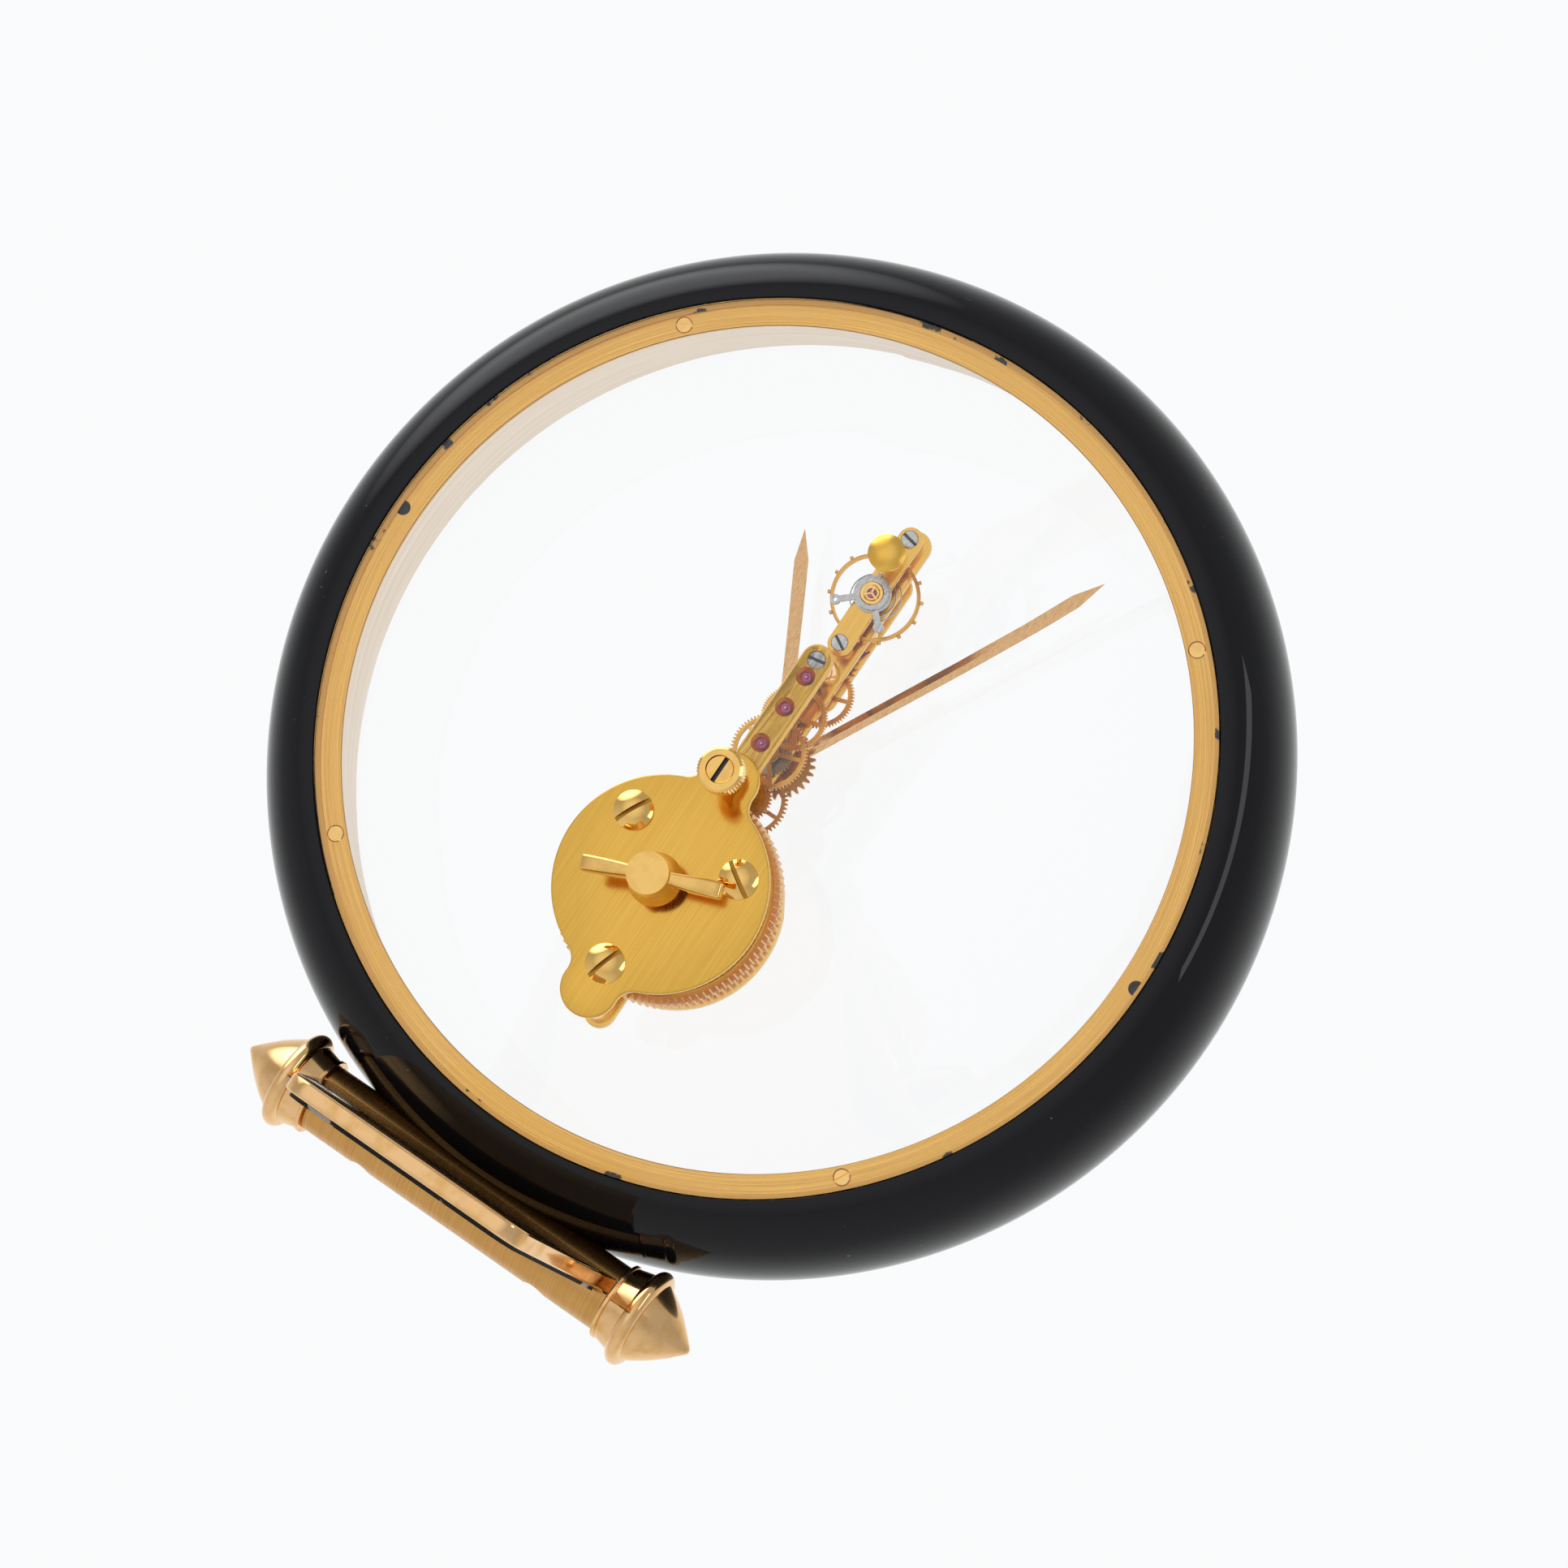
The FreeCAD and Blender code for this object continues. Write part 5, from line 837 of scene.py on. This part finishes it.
def slottedScrew(sizes, seat, turn, x, z, height=steelScrew["height"], forward=False):
    head, shank, length = sizes
    edge = steelScrew["edge"]
    screw = turned([(0, height), (head - edge, height), (head, height - edge), (head, 0), (shank, 0),
                    (shank, -length), (0, -length)], steps=40)
    cut(screw, slotBar(head, height, height * steelScrew["slotDepth"], head * steelScrew["slotWidth"], turn))
    # the slot's floor and walls are painted darker, as shade in the slot
    secondLook(screw, (steelGrain, slotShadeSteel), slotFaces(head, steelScrew["dark"], height - steelScrew["dark"]))
    if forward:
        mirroredAcross(screw, Matrix.Scale(-1, 4, (0, 1, 0)))
    return placed(screw, x, z, seat)


turns = steelScrew["turns"]
sunk = depths["rearPlate"][0] - bars["screwSink"]
screws = [slottedScrew(steelScrew["bridge"], sunk, turns[0], 0, axes["bridgeEnd"]),
          slottedScrew(steelScrew["cock"], depths["cock"][0], turns[1], 0, axes["cockLow"]),
          slottedScrew(steelScrew["cock"], depths["cock"][0], turns[2], 0, axes["cockHigh"])]
screws += [slottedScrew(steelScrew["front"], depths["frontBridge"][1], turns[3], x, z, forward=True)
           for x, z in pillar["frontPlaces"]]
finished(joined(*screws), "steelScrews", "case", "steel", [steelGrain, slotShadeSteel], "steel_screws")


def jewel(rear, z):
    radius, hole, low = sink["jewel"], sink["pivot"], rear - sink["jewelThickness"]
    return turned([(hole, low), (hole, rear - sink["cup"]), (hole + sink["cupWidth"], rear - sink["cupRim"]),
                   (radius - sink["round"], rear), (radius, rear - sink["roundDepth"]), (radius, low), (hole, low)],
                  0, z, 32)


jewels = [jewel(depths["rearPlate"][0] - sink["depth"], z) for z in jewelled]
jewels.append(jewel(depths["mainPlate"][0], axes["escape"]))
finished(joined(*jewels), "trainJewels", "case", "ruby", ruby, "train_jewels")

regulator = {"ring": 2.45, "bore": 1.76, "rear": -4.2, "middle": -4.6, "front": -5.0, "armWidth": 0.9, "eye": 0.75,
             "eyeHole": 0.3, "armX": 3.95, "studX": -3.45, "drop": 3.6, "studRing": 2.75, "stud": 0.3,
             "studRear": -4.65, "studFront": -6.7, "pointer": (2.0, 3.15), "pointerHalf": 0.3, "pointerTurn": 11,
             "edge": 0.05}


def eyedArm(x, drop, rear, front):
    length = math.hypot(x, drop)
    bar = block((-regulator["armWidth"] / 2, front, 0), (regulator["armWidth"] / 2, rear, length))
    rotated(bar, math.degrees(math.atan2(x, -drop)))
    return united(bar, post(regulator["eye"], rear, front, x, -drop, 32))


def regulatorRing(radius, x, rear, front):
    piece = united(post(radius, rear, front, 0, 0, 56), eyedArm(x, regulator["drop"], rear, front))
    return cut(piece, post(regulator["bore"], rear + past, front - past, 0, 0, 48))


studRing = regulatorRing(regulator["studRing"], regulator["studX"], regulator["middle"], regulator["front"])
united(studRing, post(regulator["stud"], regulator["studRear"], regulator["studFront"], regulator["studX"],
                      -regulator["drop"], 24))
index = regulatorRing(regulator["ring"], regulator["armX"], regulator["rear"], regulator["middle"])
cut(index, post(regulator["eyeHole"], -4, -5, regulator["armX"], -regulator["drop"], 24))
start, end = regulator["pointer"]
pointer = block((-regulator["pointerHalf"], regulator["middle"], start),
                (regulator["pointerHalf"], regulator["rear"], end))
united(index, rotated(pointer, regulator["pointerTurn"]))
for each in (studRing, index):
    bevelled(placed(each, 0, axes["balance"]), regulator["edge"], 1, 60)
finished(studRing, "studCarrier", "case", "steel", steelGrain, "stud_carrier")
finished(index, "regulatorIndex", "case", "steel", steelGrain, "regulator")

shock = {"setting": ((0.76, -5.0), (1.74, -5.0), (1.74, -4.15), (1.6, -4.0), (1.25, -4.0), (1.0, -4.22),
                     (0.76, -4.22), (0.76, -5.0)),
         "stone": ((0, -4.2), (0.4, -4.22), (0.68, -4.35), (0.73, -5.0), (0, -5.0)),
         "armLow": (-0.14, -4.2, 0.0), "armHigh": (0.14, -4.08, 1.3), "armTurns": (10, 130, 250)}
springArms = [placed(rotated(block(shock["armLow"], shock["armHigh"]), turn), 0, axes["balance"])
              for turn in shock["armTurns"]]
setting = turned(shock["setting"], 0, axes["balance"], 48)
finished(joined(setting, *springArms), "shockSetting", "case", "gold_polished", polishedGold, "shock_setting")
stone = turned(shock["stone"], 0, axes["balance"], 32)
finished(stone, "endStone", "case", "ruby", ruby, "end_stone")

fastener = {"head": 2.7, "rim": 0.45, "dome": 0.75, "post": 1.3, "end": -5.0}
button = turned(domeProfile(fastener["head"], fastener["rim"], fastener["dome"], levels["lip"])
                + [(fastener["post"], levels["lip"]), (fastener["post"], fastener["end"]), (0, fastener["end"])],
                0, axes["button"], 72)
finished(button, "glassButton", "case", "gold_polished", satinGold, "glass_button")
print("plates and small pieces made")


# Toothed wheels

tooth = {"root": 1.2, "tip": 1.05}


def toothedBlank(teeth, module, rear, front, z, middle=0.0):
    # a circle of four points a tooth, two of them drawn out to the tip
    root = teeth * module / 2 - tooth["root"] * module
    tip = teeth * module / 2 + tooth["tip"] * module
    leaveAll()
    bpy.ops.mesh.primitive_circle_add(vertices=teeth * 4, radius=root, fill_type="NGON")
    blank = bpy.context.object
    chosen(blank, lambda vertex: vertex.index % 4 in (0, 1))
    bpy.ops.transform.resize(value=(tip / root, tip / root, 1), center_override=(0, 0, 0))
    bpy.ops.mesh.select_all(action="SELECT")
    drawnOut(0, 0, rear - front)
    normalsOut()
    first = (blank.data.vertices[0].co + blank.data.vertices[1].co) / 2
    toUp = math.atan2(first.x, first.y)
    blank.data.transform(Matrix.Translation((0, rear, z)) @ Matrix.Rotation(math.pi / 2, 4, "X")
                         @ Matrix.Rotation(toUp - middle, 4, "Z"))
    return blank


def spokesCutter(inner, outer, spokes, width, rear, front, z):
    cutter = turned(ringProfile(outer, inner, rear + past, front - past), 0, z, 96)
    for number in range(spokes):
        bar = block((-width / 2, front - 2 * past, 0), (width / 2, rear + 2 * past, outer + past))
        cut(cutter, placed(rotated(bar, 360 * number / spokes), 0, z))
    return cutter


spoked = {"thickness": 0.4, "rim": 0.75, "spoke": 0.6}
# name, node, body, teeth, module, rear, axis, spokes and hub
wheels = (("centreWheel", "centre_wheel", "centre", 64, 0.17, -6.6, "centre", 5, 1.5),
          ("thirdWheel", "third_wheel", "third", 75, 0.1265, -7.5, "third", 5, 0.95),
          ("fourthWheel", "fourth_wheel", "fourth", 64, 0.15, -12.4, "fourth", 5, 0.95),
          ("minuteWheel", "minute_wheel", "setting", 56, 0.1997, -12.1, "set", 4, 1.5))
for name, node, body, teeth, module, rear, axis, spokes, hub in wheels:
    front, z = rear - spoked["thickness"], axes[axis]
    piece = toothedBlank(teeth, module, rear, front, z)
    cut(piece, spokesCutter(hub, teeth * module / 2 - spoked["rim"], spokes, spoked["spoke"], rear, front, z))
    finished(piece, name, body, "wheel_gold", wheelGold(name + "Gold", z), node, angle=25)

barrel = {"rear": -1.4, "front": -6.3, "radius": 15.3, "wall": 0.7, "floor": 0.6, "teeth": 96, "module": 0.33245,
          "toothHeight": 4.1, "bore": 1.48, "cover": 0.5, "edge": 0.3, "step": 0.1, "coverGap": 0.02}
rear, front, radius, bore = (barrel[name] for name in ("rear", "front", "radius", "bore"))
inner = radius - barrel["wall"]
drum = turned([(bore, rear), (radius - barrel["edge"], rear), (radius, rear - barrel["edge"]),
               (radius, front + barrel["step"]), (inner, front + barrel["step"]), (inner, rear - barrel["floor"]),
               (bore, rear - barrel["floor"]), (bore, rear)], 0, axes["barrel"], 160)
rimRing = toothedBlank(barrel["teeth"], barrel["module"], front + barrel["toothHeight"], front, axes["barrel"])
cut(rimRing, post(radius - barrel["edge"], 0, -8, 0, axes["barrel"], 128))
finished(joined(drum, rimRing), "barrelDrum", "barrel", "wheel_gold", wheelGold("barrelGold", axes["barrel"]),
         "barrel_drum", angle=25)
cover = turned(ringProfile(inner - barrel["coverGap"], bore, front + barrel["cover"], front), 0, axes["barrel"], 128)
finished(cover, "barrelCover", "barrel", "wheel_gold", wheelGold("coverGold", axes["barrel"]), "barrel_cover")

inter = {"rear": -8.3, "thickness": 0.7, "teeth": 48, "module": 0.16643, "pinionTeeth": 10, "pinionRear": -4.85,
         "pinionFront": -6.35, "pipe": 1.1}
front = inter["rear"] - inter["thickness"]
pinion = toothedBlank(inter["pinionTeeth"], barrel["module"], inter["pinionRear"], inter["pinionFront"], axes["set"],
                      math.pi + math.pi / inter["pinionTeeth"])
interRing = toothedBlank(inter["teeth"], inter["module"], inter["rear"], front, axes["set"])
pipe = post(inter["pipe"], inter["pinionRear"], front, 0, axes["set"], 32)
finished(joined(pinion, interRing, pipe), "intermediateWheel", "intermediate", "wheel_gold",
         wheelGold("intermediateGold", axes["set"]), "intermediate_wheel", angle=25)

hour = {"teeth": 30, "module": 0.344, "rear": -13.8, "front": -14.4, "bore": 0.93, "pipe": 1.4, "pipeRear": -13.1,
        "pipeFront": -16.45, "hole": 1.2}
hourRing = toothedBlank(hour["teeth"], hour["module"], hour["rear"], hour["front"], axes["centre"],
                        math.pi + math.pi / hour["teeth"])
pipe = [(hour["bore"], hour["pipeRear"]), (hour["pipe"], hour["pipeRear"]), (hour["pipe"], hour["pipeFront"]),
        (hour["bore"], hour["pipeFront"]), (hour["bore"], hour["pipeRear"])]
cut(hourRing, post(hour["hole"], -13, -15, 0, axes["centre"], 32))
finished(joined(hourRing, turned(pipe, 0, axes["centre"], 40)), "hourWheel", "hour", "wheel_gold",
         wheelGold("hourGold", axes["centre"]), "hour_wheel", angle=25)
print("wheels made")


# Winding key, knob and balance

key = {"cap": 3.05, "capTop": 13.0, "dome": 0.16, "flare": ((0.05, -0.7), (0.02, -2.6), (0.3, -4.0)), "skirt": 3.9,
       "skirtY": 6.9, "hem": ((-0.1, 0.5), (0, 0.2), (-0.1, 0)), "stem": 2.3, "stemY": 3.5, "start": 0.4,
       "reach": 10.3, "thin": 1.35, "thick": 2.35, "tilt": 21.4, "rootLow": 7.0, "rootHigh": 12.3, "tipLow": 8.2,
       "tipHigh": 10.4, "steps": 9, "fall": 1.2, "edge": 0.5}
keyProfile = domeProfile(key["cap"], 0.0, key["dome"], key["capTop"] - key["dome"], 6)[:-1]
keyProfile += [(key["cap"] + x, key["capTop"] + y) for x, y in key["flare"]]
keyProfile += [(key["skirt"] + x, key["skirtY"] + y) for x, y in key["hem"]]
keyProfile += [(key["stem"], key["skirtY"]), (key["stem"], key["stemY"]), (0, key["stemY"])]
keyHub = turned(keyProfile, steps=96)


def wingEdge(share):
    fall = share ** key["fall"]
    low = key["rootLow"] + (key["tipLow"] - key["rootLow"]) * fall
    high = key["rootHigh"] + (key["tipHigh"] - key["rootHigh"]) * fall
    return low, high


def wing():
    # a block drawn out step by step, lower and thicker towards its tip
    low, high = wingEdge(0)
    piece = block((0, low, -key["thin"] / 2), (key["start"], high, key["thin"] / 2))
    chosen(piece, lambda vertex: vertex.co.x > key["start"] / 2)
    bpy.ops.mesh.select_mode(type="FACE")
    lastX, lastLow, lastHigh, lastWide = key["start"], low, high, key["thin"]
    for step in range(1, key["steps"] + 1):
        share = step / key["steps"]
        low, high = wingEdge(share)
        x = key["reach"] * share
        wide = key["thin"] + (key["thick"] - key["thin"]) * math.sin(math.pi / 2 * share)
        drawnOut(x - lastX, (low + high - lastLow - lastHigh) / 2, 0)
        bpy.ops.transform.resize(value=(1, (high - low) / (lastHigh - lastLow), wide / lastWide),
                                 center_override=(x, (low + high) / 2, 0))
        lastX, lastLow, lastHigh, lastWide = x, low, high, wide
    bpy.ops.mesh.select_mode(type="VERT")
    editDone()
    return bevelled(piece, key["edge"], 3)


wingRight = wing()
wingLeft = mirroredAcross(copied(wingRight), Matrix.Scale(-1, 4, (1, 0, 0)))
keyPiece = joined(keyHub, rotated(wingRight, key["tilt"]), rotated(wingLeft, key["tilt"]))
finished(placed(keyPiece, 0, axes["barrel"]), "windingKey", "winding", "gold_polished", polishedGold, "winding_key")

knob = {"radius": 3.36, "rear": 11.9, "height": 2.8, "knurls": 44, "depth": 0.2, "slope": 0.45, "bore": 0.64,
        "neck": 2.2, "neckEnd": 8.4, "stem": 1.6, "stemEnd": 3.6, "screw": 1.99, "screwGap": 0.06, "recess": 0.15,
        "screwHeight": 0.7, "screwShank": 0.3, "screwLength": 1.6}
radius, rear = knob["radius"], knob["rear"]
front, seat = rear - knob["height"], rear - knob["recess"] - knob["screwHeight"]
leaveAll()
bpy.ops.mesh.primitive_cylinder_add(vertices=knob["knurls"] * 2, radius=radius, depth=knob["height"])
grip = bpy.context.object
chosen(grip, lambda vertex: round(math.atan2(vertex.co.x, vertex.co.y) / math.pi * knob["knurls"]) % 2 == 0)
shrink = 1 - knob["depth"] / radius
bpy.ops.transform.resize(value=(shrink, shrink, 1), center_override=(0, 0, 0))
editDone()
laid(grip, 90, "X", 0, rear - knob["height"] / 2, 0)
crown = turned([(0, rear + past), (radius + past, rear + past), (radius + past, rear - past),
                (radius - knob["slope"], rear), (0, rear), (0, rear + past)], steps=72)
cut(grip, crown, post(knob["screw"] + knob["screwGap"], 13, seat, 0, 0, 48))
stem = turned([(knob["bore"], front), (knob["neck"], front), (knob["stem"], knob["neckEnd"]),
               (knob["stem"], knob["stemEnd"]), (knob["bore"], knob["stemEnd"]), (knob["bore"], front)], steps=48)
finished(placed(joined(grip, stem), 0, axes["set"]), "setKnob", "setting", "gold_polished", polishedGold, "set_knob",
         angle=20)
knobScrew = slottedScrew((knob["screw"], knob["screwShank"], knob["screwLength"]), seat, 90, 0, axes["set"],
                         knob["screwHeight"])
finished(knobScrew, "knobScrew", "setting", "steel", [polishedGold, slotShadeSteel], "set_knob_screw")

balance = {"radius": 6.47, "rim": 0.47, "edge": 0.08, "height": 0.8, "rear": -6.9, "arm": 0.9, "armThickness": 0.4,
           "hub": 1.1, "hubRise": 0.05, "screws": 14, "screw": 0.27, "screwEdge": 0.04, "reach": 0.45, "sunk": 0.2}
radius, rear, edge = balance["radius"], balance["rear"], balance["edge"]
front, inner = rear - balance["height"], radius - balance["rim"]
rim = turned([(inner, rear), (radius - edge, rear), (radius, rear - edge), (radius, front + edge),
              (radius - edge, front), (inner, front), (inner, rear)], steps=120)
armRear = rear - (balance["height"] - balance["armThickness"]) / 2
armFront = armRear - balance["armThickness"]
reach = radius - balance["rim"] / 2
parts = [block((-balance["arm"] / 2, armFront, -reach), (balance["arm"] / 2, armRear, reach)),
         post(balance["hub"], armRear + balance["hubRise"], armFront - balance["hubRise"], 0, 0, 32)]
for number in range(balance["screws"]):
    leaveAll()
    place = (0, (rear + front) / 2, radius + balance["reach"] / 2 - balance["sunk"] / 2)
    length = balance["reach"] + balance["sunk"]
    bpy.ops.mesh.primitive_cylinder_add(vertices=16, radius=balance["screw"], depth=length, location=place)
    head = bevelled(settlePlace(bpy.context.object), balance["screwEdge"], 1)
    parts.append(rotated(head, 360 * (number + 0.5) / balance["screws"]))
finished(placed(joined(rim, *parts), 0, axes["balance"]), "balanceWheel", "balance", "wheel_gold",
         wheelGold("balanceGold", axes["balance"]), "balance_wheel")

coil = {"inner": 0.98, "outer": 4.0, "turns": 4, "steps": 40, "rear": -6.4, "height": 0.3, "thickness": 0.12}
total = coil["turns"] * coil["steps"]
points = []
for step in range(total + 1):
    share = step / total
    radius = coil["inner"] + (coil["outer"] - coil["inner"]) * share
    turn = 2 * math.pi * coil["turns"] * share
    points.append((radius * math.sin(turn), coil["rear"], axes["balance"] + radius * math.cos(turn)))
hairspring = walked(points)
editAll()
drawnOut(0, -coil["height"], 0)
editDone()
take(hairspring)
thick = hairspring.modifiers.new("strip", "SOLIDIFY")
thick.thickness = coil["thickness"]
thick.offset = 0
bpy.ops.object.modifier_apply(modifier=thick.name)
finished(hairspring, "springCoil", "balance", "steel_blue", blueSteel, "hairspring")
print("key, knob and balance made")


# CAD nodes that stay

stays = ((steelGrain, ("ratchet_wheel", "click", "click_screw", "barrel_arbor", "centre_arbor", "cannon_pinion",
                       "third_arbor", "fourth_arbor", "escape_arbor", "pallet_fork", "balance_staff", "set_arbor")),
         (blueSteel, ("click_spring", "mainspring")), (handGold, ("minute_hand", "hour_hand")),
         (wheelGold("escapeGold", axes["escape"]), ("escape_wheel",)), (ruby, ("pallet_stones",)))
for look, kept in stays:
    for node in kept:
        materials = nodes[node].data.materials
        if materials:
            materials[0] = look
        else:
            materials.append(look)
print("kept nodes dressed:", sum(len(kept) for look, kept in stays))



# Floor, light and camera

stage = {"size": 6.0, "floor": (0.93, 0.93, 0.94), "rough": 0.9, "sky": (0.955, 0.965, 0.972)}
# direction and strength of a patch, and between which values it fades in
studio = {"wall": ((0.23, 0.966, -0.11), 0.92, 0.72, 0.97), "side": ((0.81, 0.28, 0.515), 6.0, 0.84, 0.95),
          "behind": (1.0, -0.1, 0.8), "table": (0.7, 0.15, 0.95), "dark": 0.54, "soft": 0.3}
leaveAll()
bpy.ops.mesh.primitive_plane_add(size=stage["size"], location=(0, 0, 0))
floor = settlePlace(bpy.context.object)
floor.name = "floor"
look, tree, shader = newMaterial("paleFloor", stage["floor"], 0.0, stage["rough"], Specular_IOR_Level=0.1)
path = tree.nodes.new("ShaderNodeLightPath")
clear = tree.nodes.new("ShaderNodeBsdfTransparent")
below = tree.nodes.new("ShaderNodeMixShader")
geometry = tree.nodes.new("ShaderNodeNewGeometry")
unseen = mathNode(tree, "MAXIMUM", geometry.outputs["Backfacing"], path.outputs["Is Glossy Ray"])
tree.links.new(unseen, below.inputs[0])
tree.links.new(shader.outputs[0], below.inputs[1])
tree.links.new(clear.outputs[0], below.inputs[2])
tree.links.new(below.outputs[0], tree.nodes["Material Output"].inputs["Surface"])
floor.data.materials.append(look)

world = bpy.data.worlds.new("studio")
bpy.context.scene.world = world
world.use_nodes = True
tree = world.node_tree
tree.nodes.clear()
coordinates = tree.nodes.new("ShaderNodeTexCoord")
x, y, z = parted(tree, coordinates.outputs["Generated"])
behind = mapped(tree, times(tree, y, -1.0), 0.0, *studio["behind"])


def patch(direction, strength, start, end):
    # a soft bright patch of the sky, round one direction
    facing = tree.nodes.new("ShaderNodeVectorMath")
    facing.operation = "DOT_PRODUCT"
    facing.inputs[1].default_value = direction
    tree.links.new(coordinates.outputs["Generated"], facing.inputs[0])
    return mapped(tree, facing.outputs["Value"], 0.0, strength, start, end)


wall, side = patch(*studio["wall"]), patch(*studio["side"])
table = mapped(tree, times(tree, z, -1.0), 0.0, *studio["table"])
bright = mathNode(tree, "MAXIMUM", mathNode(tree, "MAXIMUM", behind, wall), mathNode(tree, "MAXIMUM", side, table))
shade = mathNode(tree, "ADD", times(tree, bright, 1.0 - studio["dark"]), studio["dark"])
path = tree.nodes.new("ShaderNodeLightPath")
plain = mathNode(tree, "MAXIMUM", path.outputs["Is Camera Ray"], path.outputs["Is Transmission Ray"])
dimmed = times(tree, mathNode(tree, "SUBTRACT", 1.0, plain), shade)
diffuse = times(tree, path.outputs["Is Diffuse Ray"], studio["soft"])
strength = mathNode(tree, "ADD", mathNode(tree, "ADD", plain, dimmed), diffuse)
backdrop = tree.nodes.new("ShaderNodeBackground")
backdrop.inputs["Color"].default_value = (*stage["sky"], 1)
tree.links.new(strength, backdrop.inputs["Strength"])
result = tree.nodes.new("ShaderNodeOutputWorld")
tree.links.new(backdrop.outputs[0], result.inputs["Surface"])

# place, size, power, color, and whether it shows in reflections
lamps = {"softLeft": ((0.48, 0.42, 0.20), (0.32, 0.32), 0.8, (0.86, 0.92, 1.0), False),
         "stripRight": ((-0.42, 0.40, 0.30), (0.10, 0.45), 0.35, (1.0, 0.99, 0.97), True),
         "softTop": ((0.0, 0.10, 0.75), (0.5, 0.5), 1.6, (1.0, 1.0, 1.0), False),
         "softFront": ((0.25, -0.60, 0.40), (0.35, 0.35), 0.9, (1.0, 1.0, 1.0), False)}
aim = Vector((0, 0, 0.079))
for name, (place, size, power, color, shine) in lamps.items():
    light = bpy.data.lights.new(name, "AREA")
    light.shape = "RECTANGLE"
    light.size, light.size_y = size
    light.energy = power
    light.color = color
    holder = bpy.data.objects.new(name, light)
    bpy.context.collection.objects.link(holder)
    holder.location = place
    holder.visible_camera = holder.visible_transmission = False
    holder.visible_glossy = shine
    holder.rotation_euler = (aim - holder.location).to_track_quat("-Z", "Y").to_euler()

photo = {"place": (-0.1593, 0.63247, -0.07246), "aim": (-0.005976, 0.006622, 0.078991), "roll": -36.543,
         "lens": 107.4, "sensor": 36.0, "clip": (0.01, 20)}
camera = bpy.data.cameras.new("camera")
camera.lens = photo["lens"]
camera.sensor_width = photo["sensor"]
camera.clip_start, camera.clip_end = photo["clip"]
holder = bpy.data.objects.new("camera", camera)
bpy.context.collection.objects.link(holder)
holder.location = photo["place"]
look = Vector(photo["aim"]) - holder.location
holder.rotation_euler = (look.to_track_quat("-Z", "Y").to_matrix()
                         @ Matrix.Rotation(-math.radians(photo["roll"]), 3, "Z")).to_euler()
bpy.context.scene.camera = holder
bpy.context.scene.view_settings.view_transform = "Standard"

print("scene complete")
